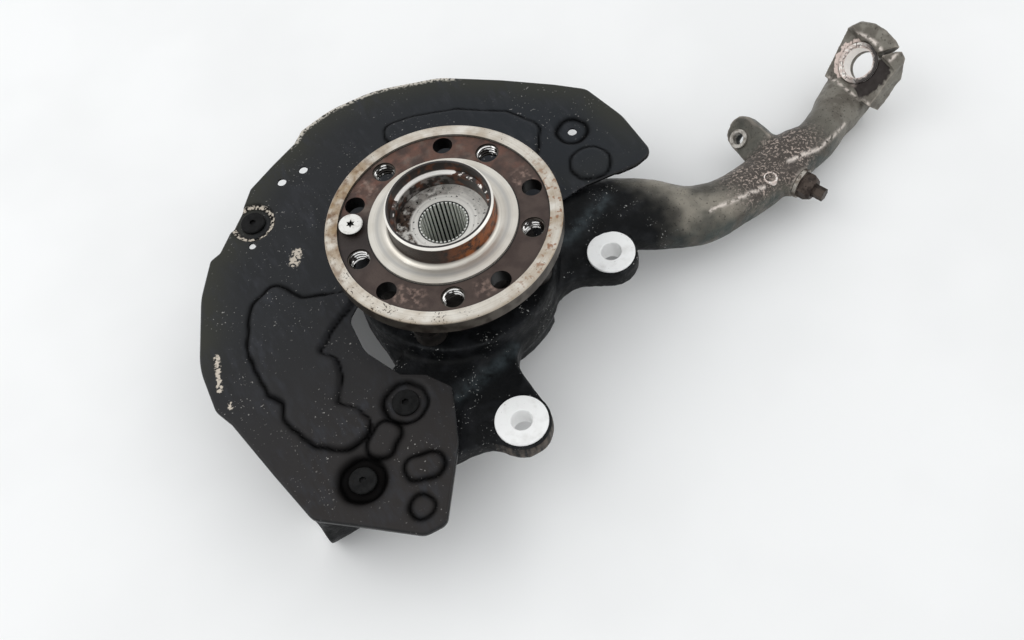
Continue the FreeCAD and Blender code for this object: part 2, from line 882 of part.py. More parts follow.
def neck_solid():
    """Curved neck: sections set close together along a smooth line through its stations."""
    words = ("x", "y", "z", "width", "height")
    stations = [[number("neck_%s_at_%d" % (word, index)) for word in words]
                for index in range(1, len(NECK_STATIONS) + 1)]
    line = Part.BSplineCurve()
    line.interpolate([spot(*station[:3]) for station in stations])
    knots = [line.parameter(spot(*station[:3])) for station in stations]
    wires = []
    steps = 3
    for index in range(len(stations) - 1):
        last_span = index == len(stations) - 2
        for step in range(steps + last_span):
            share = step / steps
            eased = share * share * (3 - 2 * share)
            here = knots[index] + (knots[index + 1] - knots[index]) * share
            width, height = [
                before + (after - before) * eased
                for before, after in zip(stations[index][3:], stations[index + 1][3:])]
            way = line.tangent(here)[0].normalize()
            wires.append(section(line.value(here), way, width, height))
    return Part.makeLoft(wires, True, False)


def plate_solid():
    """Web between housing, caliper ears and rear arm, with its inner corners rounded."""
    ear = number("ear_radius")
    side = number("side_web_radius")
    upper_ear = (number("upper_ear_x"), number("upper_ear_y"))
    lower_ear = (number("lower_ear_x"), number("lower_ear_y"))
    mid_screw = (number("mid_screw_x"), number("mid_screw_y"))
    rear_screw = (number("rear_screw_x"), number("rear_screw_y") + number("rear_web_end"))
    side_top = (number("side_web_x"), number("side_web_top_y"))
    side_foot = (number("side_web_x"), number("side_web_foot_y"))
    faces = [
        disc(0, 0, number("housing_radius") + number("plate_collar")),
        belt((number("upper_web_x"), number("upper_web_y")), ear, upper_ear, ear),
        belt((number("lower_web_x"), number("lower_web_y")), number("lower_web_radius"),
             lower_ear, number("lower_ear_radius")),
        belt((number("rear_web_x"), number("rear_web_y")), ear, rear_screw, ear),
        belt(side_top, side, side_foot, side),
        belt(side_foot, side, mid_screw, number("screw_web_radius")),
    ]
    fillet = number("plate_fillet")
    outline = merged(faces).makeOffset2D(fillet).makeOffset2D(-fillet)
    top = number("plate_level")
    return raised(outline, top - number("plate_thickness"), top)


def arm_solid(name):
    """Arm from the housing to a lower eye, with the eye turned about X at its end."""
    root = (number(name + "_root_x"), number(name + "_root_y"))
    eye_x = number(name + "_eye_x")
    eye_y = number(name + "_eye_y")
    half = number("arm_width") / 2
    top = number("arm_level")
    bottom = top - number("arm_thickness")
    reach = number("eye_radius")
    arm = raised(belt(root, half + 6, (eye_x, eye_y), half), bottom, top)
    centre = spot(eye_x - number("eye_length") / 2, eye_y, number("floor_level") + reach)
    eye = Part.makeCylinder(reach, number("eye_length"), centre, spot(1, 0, 0))
    cheek = Part.makeBox(number("eye_length"), 2 * reach, top - centre.z)
    cheek.translate(centre - spot(0, reach, 0))
    cheek = cheek.common(raised(disc(eye_x, eye_y, half + 3), centre.z, top))
    return arm.multiFuse([cheek, eye]).removeSplitter()


def shield_seat():
    """Level of the pads that the dished screw seats of the shield rest on."""
    return S["shield_level"] - S["dish_depth"] - S["shield_sheet"]


def tongue_solid():
    """Thin tongue from the front eye to the pad of the shield's front screw."""
    radius = number("pad_radius")
    start = (number("front_eye_x") + number("tongue_step_x"),
             number("front_eye_y") + number("tongue_step_y"))
    end = (number("front_screw_x"), number("front_screw_y"))
    return raised(belt(start, number("tongue_radius"), end, radius), number("plate_level"),
                  shield_seat().value)


def tilted(shape):
    """Turn a shape drawn flat into the slope of the upper eye and of the lug."""
    turn_back = FreeCAD.Rotation(spot(0, 1, 0), -number("top_eye_tilt"))
    shape.Placement = FreeCAD.Placement(spot(0, 0, 0), turn_back).multiply(shape.Placement)
    return shape


# Upper eye seen along its bore: outside, foot and crown of the cap, as steps along the neck
# and across it from the bore's centre
TOP_EYE_EDGE = (
    (-22.5, 14.0),
    (-16.5, -29.0),
    (-7.0, -28.5),
    (4.0, -26.5),
    (23.0, -26.0),
    (31.0, -17.0),
    (32.0, -4.0),
    (29.0, 9.0),
    (22.0, 20.0),
    (12.5, 24.5),
)
TOP_CAP_FOOT = (
    (12.0, -26.5),
    (23.0, -26.0),
    (31.0, -17.0),
    (32.0, -4.0),
    (29.0, 9.0),
    (22.0, 20.0),
    (12.5, 24.5),
)
TOP_CAP_CROWN = (
    (16.0, -18.0),
    (22.0, -19.0),
    (27.0, -13.0),
    (28.5, -4.0),
    (26.5, 6.0),
    (22.0, 14.0),
    (17.0, 18.5),
)
# Ends of the ridge between the cap's two sloping facets
TOP_CAP_RIDGE = ((16.5, 3.0), (29.5, -5.5))


def closed_wire(corners, level=0.0):
    points = [spot(x, y, level) for x, y in corners]
    return Part.makePolygon(points + points[:1])


def cap_facets(rise):
    """Two blocks that slope the crown of the cap away on both sides of its ridge."""
    first, last = [spot(x, y, rise) for x, y in TOP_CAP_RIDGE]
    way = (last - first).normalize()
    side = spot(0, 0, 1).cross(way)
    reach = number("top_eye_reach")
    blocks = []
    for sign in (1, -1):
        block = Part.makeBox(2 * reach, reach, reach / 2)
        block.translate(spot(-reach, 0.0, 0.0))
        frame = FreeCAD.Placement(first, FreeCAD.Rotation(way * sign, side * sign, spot(0, 0, 1),
                                                          "XYZ"))
        lean = FreeCAD.Rotation(spot(1, 0, 0), -number("top_eye_cap_slope"))
        block.Placement = frame.multiply(FreeCAD.Placement(spot(0, 0, 0), lean)).multiply(
            block.Placement)
        blocks.append(block)
    return blocks


def top_eye_solid():
    """Upper eye: a block square to its sloping bore, with a raised facetted cap."""
    block = raised(Part.Face(closed_wire(TOP_EYE_EDGE)), -number("top_eye_depth"), 0.0)
    rise = number("top_eye_cap_rise")
    cap = Part.makeLoft([closed_wire(TOP_CAP_FOOT), closed_wire(TOP_CAP_CROWN, rise)], True, True)
    cap = cap.cut(cap_facets(rise))
    solid = tilted(block.fuse(cap))
    solid.translate(spot(number("top_eye_x"), number("top_eye_y"), number("top_eye_z")))
    reach = number("top_eye_reach")
    corner = spot(number("top_eye_wall_x"), -reach, number("top_eye_z") - 1.5 * reach)
    return solid.cut(Part.makeBox(reach, 2 * reach, 3 * reach, corner))


def top_eye_tools():
    """Bore, spot face and clamp slot of the upper eye."""
    reach = number("top_eye_reach")
    bore = Part.makeCylinder(number("top_eye_bore_radius"), 2 * reach, spot(0, 0, -reach))
    face = Part.makeCylinder(number("top_eye_face_radius"), reach, spot(0, 0, 0.0))
    slot_width = number("top_eye_slot_width")
    slot = Part.makeBox(reach, slot_width, 2 * reach)
    slot.translate(spot(0, -slot_width / 2, -reach))
    slot.rotate(spot(0, 0, 0), spot(0, 0, 1), number("top_eye_slot_angle"))
    tools = tilted(bore.multiFuse([face, slot]))
    tools.translate(spot(number("top_eye_x"), number("top_eye_y"), number("top_eye_z")))
    return tools


# Cable lug seen along its hole, in the same steps from the hole's centre
LUG_EDGE = (
    (5.0, 14.0),
    (11.5, 12.0),
    (15.5, 6.5),
    (18.0, -18.0),
    (-8.0, -18.0),
    (-8.0, 2.0),
    (-5.5, 9.0),
    (-1.5, 12.0),
)


def lug_solid():
    """Facetted lug with a round collar, sloped like the upper eye."""
    reach = 3 * number("lug_thickness")
    tab = raised(Part.Face(closed_wire(LUG_EDGE)), -number("lug_thickness"), 0.0)
    collar = raised(disc(0, 0, number("lug_collar_radius")), -1.0, number("lug_collar_rise"))
    hole = raised(disc(0, 0, number("lug_hole_radius")), -reach, reach)
    lug = tilted(tab.fuse(collar).cut(hole))
    lug.translate(spot(number("lug_x"), number("lug_y"), number("lug_z")))
    return lug


def cross_way():
    angle = math.radians(number("cross_angle"))
    return spot(math.cos(angle), math.sin(angle))


def along_cross(shape, distance):
    """Stand a shape drawn along Z on the cross bolt's axis, at a distance from the neck's centre."""
    way = cross_way()
    base = spot(number("cross_x"), number("cross_y"), number("cross_z")) + way * distance
    shape.Placement = FreeCAD.Placement(base, FreeCAD.Rotation(spot(0, 0, 1), way))
    return shape


def cross_boss_solid():
    """Boss on the neck's side under the washer of the cross bolt."""
    seat = number("cross_seat")
    radius = number("cross_boss_radius")
    return along_cross(Part.makeCone(radius + 3.0, radius, seat), 0.0)


def hexagon_prism(across, height):
    corner = across / 2 / math.cos(math.pi / 6)
    points = [spot(corner * math.cos(math.pi / 3 * step), corner * math.sin(math.pi / 3 * step))
              for step in range(7)]
    return raised(Part.Face(Part.makePolygon(points)), 0.0, height)


def build_cross_stud():
    """Stud screwed into the neck's side, with its nut and washer."""
    radius = number("cross_bolt_radius")
    across = number("cross_hex_across")
    seat = number("cross_seat")
    washer_thickness = number("cross_washer_thickness")
    nut_height = number("cross_nut_height")
    clear = number("press_clearance")
    screwed_in = number("cross_hole_depth") - number("cross_hole_spare")

    shank = Part.makeCylinder(radius, screwed_in + washer_thickness + nut_height + 1.0)
    tip = hexagon_prism(number("cross_tip_across"), number("cross_tip_length"))
    tip.translate(spot(0, 0, shank.BoundBox.ZMax))
    stud = own_feature("cross_stud", along_cross(shank.fuse(tip), seat - screwed_in))

    washer = Part.makeCylinder(number("cross_washer_radius"), washer_thickness)
    washer = washer.cut(Part.makeCylinder(radius + clear, washer_thickness))
    washer = own_feature("cross_washer", along_cross(washer, seat))

    nut = hexagon_prism(across, nut_height)
    crown = Part.makeCone(across * 0.72, across * 0.45, nut_height)
    nut = nut.common(crown).cut(Part.makeCylinder(radius + clear, nut_height))
    nut = own_feature("cross_nut", along_cross(nut, seat + washer_thickness))
    return [stud, washer, nut]


SHIELD_SCREWS = ("rear_screw", "mid_screw", "front_screw")


def screw_spots():
    return [(name, number(name + "_x"), number(name + "_y")) for name in SHIELD_SCREWS]


def build_knuckle():
    """Cast steering knuckle: housing, plates, arms, neck and eyes, then what is machined."""
    seat = S["housing_seat_level"]
    back = seat - S["housing_depth"]
    housing = cylinder("Housing", S["housing_radius"], S["housing_depth"], (0, 0, back))
    pieces = [
        housing,
        own_feature("Plate", plate_solid()),
        own_feature("Neck", neck_solid()),
        own_feature("RearArm", arm_solid("rear")),
        own_feature("FrontArm", arm_solid("front")),
        own_feature("FrontTongue", tongue_solid()),
        own_feature("TopEye", top_eye_solid()),
        own_feature("Lug", lug_solid()),
        own_feature("CrossBoss", cross_boss_solid()),
    ]
    for name in ("rear_screw", "mid_screw"):
        base = (S[name + "_x"], S[name + "_y"], S["plate_level"] - S["pad_root"])
        pieces.append(cylinder(name + "_pad", S["pad_radius"], shield_seat() - base[2], base))
    boss_height = S["neck_boss_height"]
    boss_base = (S["neck_boss_x"], S["neck_boss_y"], S["neck_boss_top"] - boss_height)
    pieces.append(cylinder("NeckBoss", S["neck_boss_radius"], boss_height, boss_base))
    plate_foot = S["plate_level"] - S["plate_thickness"]
    for name in ("upper", "lower"):
        base = (S[name + "_ear_x"], S[name + "_ear_y"], plate_foot)
        rise = S["plate_thickness"] + S["ear_pad_rise"]
        pieces.append(cylinder(name + "_ear_pad", S[name + "_pad_radius"], rise, base))
    casting = fused("Casting", pieces)

    bore_radius = S["ring_body_radius"] + S["press_clearance"]
    overrun = S["cut_overrun"]
    tools = [cylinder("BearingBore", bore_radius, S["housing_depth"] + 2 * overrun,
                      (0, 0, back - overrun))]
    for name in ("upper", "lower"):
        base = (S[name + "_ear_x"], S[name + "_ear_y"], plate_foot - overrun)
        height = S["plate_thickness"] + 2 * overrun
        tools.append(cylinder(name + "_ear_hole", S["caliper_hole_radius"], height, base))
    for index in range(int(number("bearing_bolt_count"))):
        angle = S["bearing_bolt_angle"] + 360.0 / S["bearing_bolt_count"] * index
        x, y = polar(bolt_distance(), angle)
        radius = S["bearing_bolt_radius"] + S["bolt_way_clearance"]
        height = S["housing_depth"] + 2 * overrun
        tools.append(cylinder("BoltWay%d" % index, radius, height, (x, y, back - overrun)))
        spot_radius = S["bearing_bolt_washer"] + S["bolt_spot_clearance"]
        spot_base = (x, y, bolt_seat_level() - S["bolt_spot_reach"])
        tools.append(cylinder("BoltSpot%d" % index, spot_radius, S["bolt_spot_reach"], spot_base))
    for name in SHIELD_SCREWS:
        depth = S["shield_screw_length"]
        base = (S[name + "_x"], S[name + "_y"], S["shield_level"] - S["dish_depth"] - depth)
        radius = S["shield_screw_radius"] + S["press_clearance"]
        tools.append(cylinder(name + "_hole", radius, depth + overrun, base))
    along_x = spot(0, 1, 0)
    for name in ("rear_eye", "front_eye"):
        level = S["floor_level"] + S["eye_radius"]
        base = (S[name + "_x"] - S["eye_length"], S[name + "_y"], level)
        tools.append(cylinder(name + "_bore", S["eye_bore_radius"], S["eye_length"] * 2, base,
                              along_x, 90.0))
    hole_depth = number("cross_hole_depth")
    cross_hole = Part.makeCylinder(number("cross_bolt_radius") + number("press_clearance"),
                                   hole_depth + number("cut_overrun"))
    cross_hole = along_cross(cross_hole, number("cross_seat") - hole_depth)
    tools.append(own_feature("CrossHole", cross_hole))
    tools.append(own_feature("TopEyeMachining", top_eye_tools()))
    machining = fused("Machining", tools)

    knuckle = doc.addObject("Part::Cut", "knuckle")
    knuckle.Base = casting
    knuckle.Tool = machining
    return knuckle


def bolt_seat_level():
    """Level of the spot faces under the heads of the bearing bolts."""
    top = S["housing_seat_level"] + S["ring_flange_thickness"] - S["bolt_end_gap"]
    return top - S["bearing_bolt_grip"]


# Outer edge of the shield, anticlockwise from its lower right: x, y and corner radius
SHIELD_EDGE = (
    (153.0, 2.0, 8.0),
    (154.0, 40.0, 40.0),
    (147.0, 75.0, 12.0),
    (131.0, 92.0, 20.0),
    (103.0, 118.0, 60.0),
    (68.0, 147.0, 40.0),
    (24.0, 165.0, 80.0),
    (-11.0, 168.0, 60.0),
    (-36.0, 163.0, 3.0),
    (-46.0, 155.0, 4.0),
    (-66.0, 147.0, 40.0),
    (-88.0, 137.0, 4.0),
    (-97.0, 127.0, 5.0),
    (-127.0, 100.0, 4.0),
    (-135.0, 98.0, 4.0),
    (-152.0, 74.0, 60.0),
    (-173.0, 26.0, 60.0),
    (-176.0, -8.0, 10.0),
    (-171.0, -22.0, 8.0),
    (-163.0, -66.0, 90.0),
    (-155.0, -106.0, 12.0),
    (-128.0, -129.0, 20.0),
    (-104.0, -150.0, 10.0),
    (-90.0, -151.0, 7.0),
    (-60.0, -111.0, 10.0),
    (-45.0, -77.0, 6.0),
    (-55.0, -60.0, 6.0),
    (-68.0, -51.0, 3.0),
    (-79.0, -24.0, 18.0),
    (-77.0, 2.0, 8.0),
    (-66.0, 10.0, 3.0),
    (-50.0, 4.0, 3.0),
    (50.0, 2.0, 3.0),
    (100.0, 4.0, 30.0),
    (138.0, -1.0, 20.0),
)

# Stepped areas of the shield: plateau at the lower left and band along the top
PLATEAU_EDGE = (
    (-66.0, 20.0, 4.0),
    (-81.0, 26.0, 8.0),
    (-97.0, 34.0, 6.0),
    (-106.0, 54.0, 6.0),
    (-126.0, 47.0, 14.0),
    (-141.0, 18.0, 18.0),
    (-142.0, -18.0, 8.0),
    (-136.0, -27.0, 5.0),
    (-141.0, -40.0, 8.0),
    (-133.0, -64.0, 14.0),
    (-116.0, -79.0, 12.0),
    (-98.0, -72.0, 7.0),
    (-102.0, -57.0, 4.0),
    (-111.0, -47.0, 4.0),
    (-100.0, -31.0, 5.0),
    (-97.0, -19.0, 4.0),
    (-105.0, -8.0, 4.0),
    (-88.0, 4.0, 8.0),
    (-70.0, 12.0, 3.0),
)
BAND_EDGE = (
    (16.0, 82.0, 5.0),
    (10.0, 130.0, 8.0),
    (36.0, 124.0, 20.0),
    (62.0, 112.0, 20.0),
    (90.0, 89.0, 12.0),
    (102.0, 66.0, 8.0),
    (88.0, 46.0, 6.0),
    (70.0, 44.0, 4.0),
)


# Pressed shapes of the shield: x, y, radius and rise
ROUND_PRESSES = (
    (114.0, 18.0, 12.0, 1.5),
    (119.0, 49.0, 12.0, -1.5),
    (-97.0, -134.0, 9.0, -1.0),
)
# Long presses, as two ends, radius and rise: oval beside the rear end, rib between the dishes
LONG_PRESSES = (
    ((-88.0, -112.0), (-80.0, -114.0), 6.5, 1.5),
    ((-100.0, -87.0), (-93.0, -82.0), 7.0, 1.5),
)
# Open holes of the shield: x, y and radius
SHIELD_HOLES = (
    (119.0, 49.0, 3.2),
    (-50.0, 130.0, 3.2),
    (-67.0, 129.0, 3.2),
    (-106.0, 92.0, 2.6),
)


def sloped(face, rise, shift):
    """Frustum over a face, drawn in by its own height as it rises or sinks, moved by a shift."""
    base = face.OuterWire.copy()
    crown = face.makeOffset2D(-abs(rise)).OuterWire
    crown.translate(spot(0, 0, rise))
    frustum = Part.makeLoft([base, crown], True, True)
    frustum.translate(spot(0, 0, number("shield_level") + shift))
    return frustum


def stepped(shell, face, rise):
    """Press an area of the sheet up or down, with sloping sides and the sheet's thickness."""
    level = number("shield_level")
    sheet_thickness = number("shield_sheet")
    slab = raised(face, level - sheet_thickness, level)
    shell = shell.cut(slab)
    if rise > 0:
        wall = slab.fuse(sloped(face, rise, 0.0)).cut(sloped(face, rise, -sheet_thickness))
    else:
        wall = slab.fuse(sloped(face, rise, -sheet_thickness)).cut(sloped(face, rise, 0.0))
    return shell.fuse(wall)


def build_splash_shield():
    """Pressed sheet shield behind the brake disc, with steps, dishes, holes and a turned-down lip."""
    level = number("shield_level")
    sheet_thickness = number("shield_sheet")
    overrun = number("cut_overrun")
    outline = rounded(SHIELD_EDGE)
    bore_radius = number("housing_radius") + number("shield_bore_clearance")
    blank = outline.cut(disc(0, 0, bore_radius)).Faces[0]
    shell = raised(blank, level - sheet_thickness, level)
    for edge in (PLATEAU_EDGE, BAND_EDGE):
        shell = stepped(shell, rounded(edge), number("emboss_height"))
    for x, y, radius, rise in ROUND_PRESSES:
        shell = stepped(shell, disc(x, y, radius), rise)
    for first, last, radius, rise in LONG_PRESSES:
        shell = stepped(shell, belt(first, radius, last, radius), rise)
    for name, x, y in screw_spots():
        shell = stepped(shell, disc(x, y, number("dish_radius")), -number("dish_depth"))
    rim = outline.cut(outline.makeOffset2D(-sheet_thickness)).Faces[0]
    lip = raised(rim, level - number("shield_lip"), level - sheet_thickness)
    lip_end = disc(0, 0, number("shield_lip_end_radius"))
    shell = shell.fuse(lip.cut(raised(lip_end, level - overrun, level + overrun)))
    holes = list(SHIELD_HOLES)
    clear = number("shield_screw_radius") + number("shield_screw_clearance")
    for name, x, y in screw_spots():
        holes.append((x, y, clear))
    for x, y, radius in holes:
        shell = shell.cut(raised(disc(x, y, radius), level - overrun, level + overrun))
    return own_feature("splash_shield", shell.removeSplitter())


def build_all():
    nodes = [
        build_wheel_hub(),
        build_disc_screw(),
        build_bearing_outer_ring(),
        build_bearing_inner_ring(),
        build_balls("outboard"),
        build_cage("outboard", True),
        build_balls("inboard"),
        build_cage("inboard", False),
        build_seal("outboard_seal", S["ring_top_level"], S["journal_radius"]),
    ]
    inboard = build_seal("inboard_seal", S["ring_top_level"] - S["ring_length"] + S["seal_width"],
                         S["shoulder_radius"])
    nodes.append(inboard)
    for index in range(int(number("bearing_bolt_count"))):
        bolt = build_bearing_bolt("bearing_bolt_%d" % (index + 1))
        angle = S["bearing_bolt_angle"] + 360.0 / S["bearing_bolt_count"] * index
        x, y = polar(bolt_distance(), angle)
        place(bolt, x, y, bolt_seat_level())
        nodes.append(bolt)
    nodes.append(build_knuckle())
    nodes.append(build_splash_shield())
    for index, name in enumerate(SHIELD_SCREWS):
        screw = build_shield_screw("shield_screw_%d" % (index + 1))
        place(screw, S[name + "_x"], S[name + "_y"], S["shield_level"] - S["dish_depth"])
        nodes.append(screw)
    nodes.extend(build_cross_stud())
    return nodes


def check(nodes):
    """Stop if anything in the document failed or a node isn't sound."""
    doc.recompute()
    failed = [item.Label for item in doc.Objects
              if "Invalid" in item.State or "Error" in item.State]
    if failed:
        raise RuntimeError("failed objects: %s" % ", ".join(failed))
    for node in nodes:
        shape = node.Shape
        if shape.isNull() or not shape.isValid() or not shape.Solids:
            raise RuntimeError("%s is not a sound solid" % node.Label)
        print("%-22s %2d solids %10.0f mm3" % (node.Label, len(shape.Solids), shape.Volume))


nodes = build_all()
check(nodes)
os.makedirs("parts", exist_ok=True)
for node in nodes:
    node.Shape.exportStep("parts/%s.step" % node.Label)
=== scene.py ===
"""Looks of a wheel hub on its steering knuckle, with bearing, splash shield and fasteners."""

import math

import bmesh
import bpy
import numpy as np
from mathutils import Matrix, Quaternion, Vector
from mathutils.geometry import delaunay_2d_cdt


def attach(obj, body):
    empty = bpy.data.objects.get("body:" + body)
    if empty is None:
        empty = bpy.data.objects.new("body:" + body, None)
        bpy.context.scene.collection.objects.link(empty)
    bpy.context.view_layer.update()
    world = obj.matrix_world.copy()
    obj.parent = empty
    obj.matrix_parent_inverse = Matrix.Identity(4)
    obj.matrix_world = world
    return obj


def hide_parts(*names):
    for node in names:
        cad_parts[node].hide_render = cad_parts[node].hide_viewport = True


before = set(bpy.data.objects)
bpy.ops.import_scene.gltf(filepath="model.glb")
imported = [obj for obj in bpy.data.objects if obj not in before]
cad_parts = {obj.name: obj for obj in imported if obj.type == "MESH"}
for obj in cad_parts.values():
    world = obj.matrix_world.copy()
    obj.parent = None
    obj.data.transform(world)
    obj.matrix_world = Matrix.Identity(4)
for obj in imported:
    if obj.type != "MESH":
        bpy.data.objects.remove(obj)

bl_info = {
    "name": "Wheel hub on its knuckle",
    "version": (1, 0, 0),
    "blender": (4, 5, 0),
    "location": "View3D > Sidebar > Wheel hub",
    "description": "Finishes and fine forms of a wheel hub with knuckle and splash shield",
    "category": "Object",
}

MM = 0.001

# Outer edge of the shield, anticlockwise from its lower right: x, y and corner radius in mm
SHIELD_EDGE = (
    (153.0, 2.0, 8.0),
    (154.0, 40.0, 40.0),
    (147.0, 75.0, 12.0),
    (131.0, 92.0, 20.0),
    (103.0, 118.0, 60.0),
    (68.0, 147.0, 40.0),
    (24.0, 165.0, 80.0),
    (-11.0, 168.0, 60.0),
    (-36.0, 163.0, 3.0),
    (-46.0, 155.0, 4.0),
    (-66.0, 147.0, 40.0),
    (-88.0, 137.0, 4.0),
    (-97.0, 127.0, 5.0),
    (-127.0, 100.0, 4.0),
    (-135.0, 98.0, 4.0),
    (-152.0, 74.0, 60.0),
    (-173.0, 26.0, 60.0),
    (-176.0, -8.0, 10.0),
    (-171.0, -22.0, 8.0),
    (-163.0, -66.0, 90.0),
    (-155.0, -106.0, 12.0),
    (-128.0, -129.0, 20.0),
    (-104.0, -150.0, 10.0),
    (-90.0, -151.0, 7.0),
    (-60.0, -111.0, 10.0),
    (-45.0, -77.0, 6.0),
    (-55.0, -60.0, 6.0),
    (-68.0, -51.0, 3.0),
    (-79.0, -24.0, 18.0),
    (-77.0, 2.0, 8.0),
    (-66.0, 10.0, 3.0),
    (-50.0, 4.0, 3.0),
    (50.0, 2.0, 3.0),
    (100.0, 4.0, 30.0),
    (138.0, -1.0, 20.0),
)
PLATEAU_EDGE = (
    (-66.0, 20.0, 4.0),
    (-81.0, 26.0, 8.0),
    (-97.0, 34.0, 6.0),
    (-106.0, 54.0, 6.0),
    (-126.0, 47.0, 14.0),
    (-141.0, 18.0, 18.0),
    (-142.0, -18.0, 8.0),
    (-136.0, -27.0, 5.0),
    (-141.0, -40.0, 8.0),
    (-133.0, -64.0, 14.0),
    (-116.0, -79.0, 12.0),
    (-98.0, -72.0, 7.0),
    (-102.0, -57.0, 4.0),
    (-111.0, -47.0, 4.0),
    (-100.0, -31.0, 5.0),
    (-97.0, -19.0, 4.0),
    (-105.0, -8.0, 4.0),
    (-88.0, 4.0, 8.0),
    (-70.0, 12.0, 3.0),
)
BAND_EDGE = (
    (16.0, 82.0, 5.0),
    (10.0, 130.0, 8.0),
    (36.0, 124.0, 20.0),
    (62.0, 112.0, 20.0),
    (90.0, 89.0, 12.0),
    (102.0, 66.0, 8.0),
    (88.0, 46.0, 6.0),
    (70.0, 44.0, 4.0),
)
# Round presses of the shield: x, y, radius and rise in mm
ROUND_PRESSES = (
    (114.0, 18.0, 12.0, 1.5),
    (119.0, 49.0, 12.0, -1.5),
    (-97.0, -134.0, 9.0, -1.0),
    (-119.0, -100.0, 15.0, -2.5),
    (-74.0, -69.0, 15.0, -2.5),
    (-98.0, 110.0, 15.0, -2.5),
)
# Long presses of the shield: two ends, radius and rise in mm
LONG_PRESSES = (
    (-88.0, -112.0, -80.0, -114.0, 6.5, 1.5),
    (-100.0, -87.0, -93.0, -82.0, 7.0, 1.5),
)
# Holes of the shield: x, y and radius in mm
SHIELD_HOLES = (
    (119.0, 49.0, 3.2),
    (-50.0, 130.0, 3.2),
    (-67.0, 129.0, 3.2),
    (-106.0, 92.0, 2.6),
    (-119.0, -100.0, 3.4),
    (-74.0, -69.0, 3.4),
    (-98.0, 110.0, 3.4),
)
# Places on the shield rubbed through to grey: two ends, radius in mm and strength
SHIELD_SCUFFS = (
    (-88.0, 63.0, -83.0, 69.0, 3.6, 1.0),
    (-160.0, 27.0, -168.0, 3.0, 1.9, 1.0),
    (-131.0, 50.0, -136.0, 58.0, 4.0, 0.16),
    (-166.0, -9.0, -167.0, -12.0, 1.6, 0.9),
)
# Rear dish of the shield, drawn black well past its rim: x, y and radius in mm
BLACK_REAR_DISH = (-119.0, -100.0, 16.5)
# Front dish of the shield, with a ragged grey ring on its slope: x, y and radius in mm
RINGED_DISH = (-98.0, 110.0, 13.5)
# Ridges of the neck that rub bright: points in mm
WORN_RIDGES = (
    ((163.0, -50.0, -66.5), (179.0, -50.4, -69.6), (192.0, -50.3, -72.4), (207.0, -50.3, -75.2)),
    ((234.0, -41.5, -76.8), (247.0, -41.6, -78.8), (259.0, -41.9, -82.3), (270.0, -39.3, -83.2),
     (291.0, -31.8, -87.9)),
    ((309.0, 10.0, -88.0), (308.5, -2.0, -84.5), (309.0, -12.0, -83.6), (313.0, -28.5, -85.5)),
    ((332.9, 12.5, -61.6), (331.8, 5.6, -57.7), (332.6, 0.4, -56.4), (333.5, -6.0, -56.9),
     (333.6, -12.0, -58.3)),
    ((333.7, -21.2, -60.4), (337.2, -22.4, -56.8)),
)
# Soft swells of the black body that catch a faint light: points in mm
PALE_SWELLS = (
    ((1.4, -68.8, -62.0), (-19.3, -74.3, -62.0), (-45.4, -77.5, -62.0)),
    ((107.9, -10.3, -54.4), (92.6, -14.7, -53.8), (69.4, -21.9, -55.5)),
    ((133.0, -56.0, -74.0), (115.0, -52.0, -70.0), (104.0, -44.0, -66.0)),
)


def linear(code):
    """Linear red, green and blue of an sRGB hex colour."""
    levels = [int(code[place:place + 2], 16) / 255 for place in (1, 3, 5)]
    return tuple(c / 12.92 if c <= 0.04045 else ((c + 0.055) / 1.055) ** 2.4 for c in levels)


def per(size):
    """Texture scale that repeats once in a size given in millimetres."""
    return 1000.0 / size


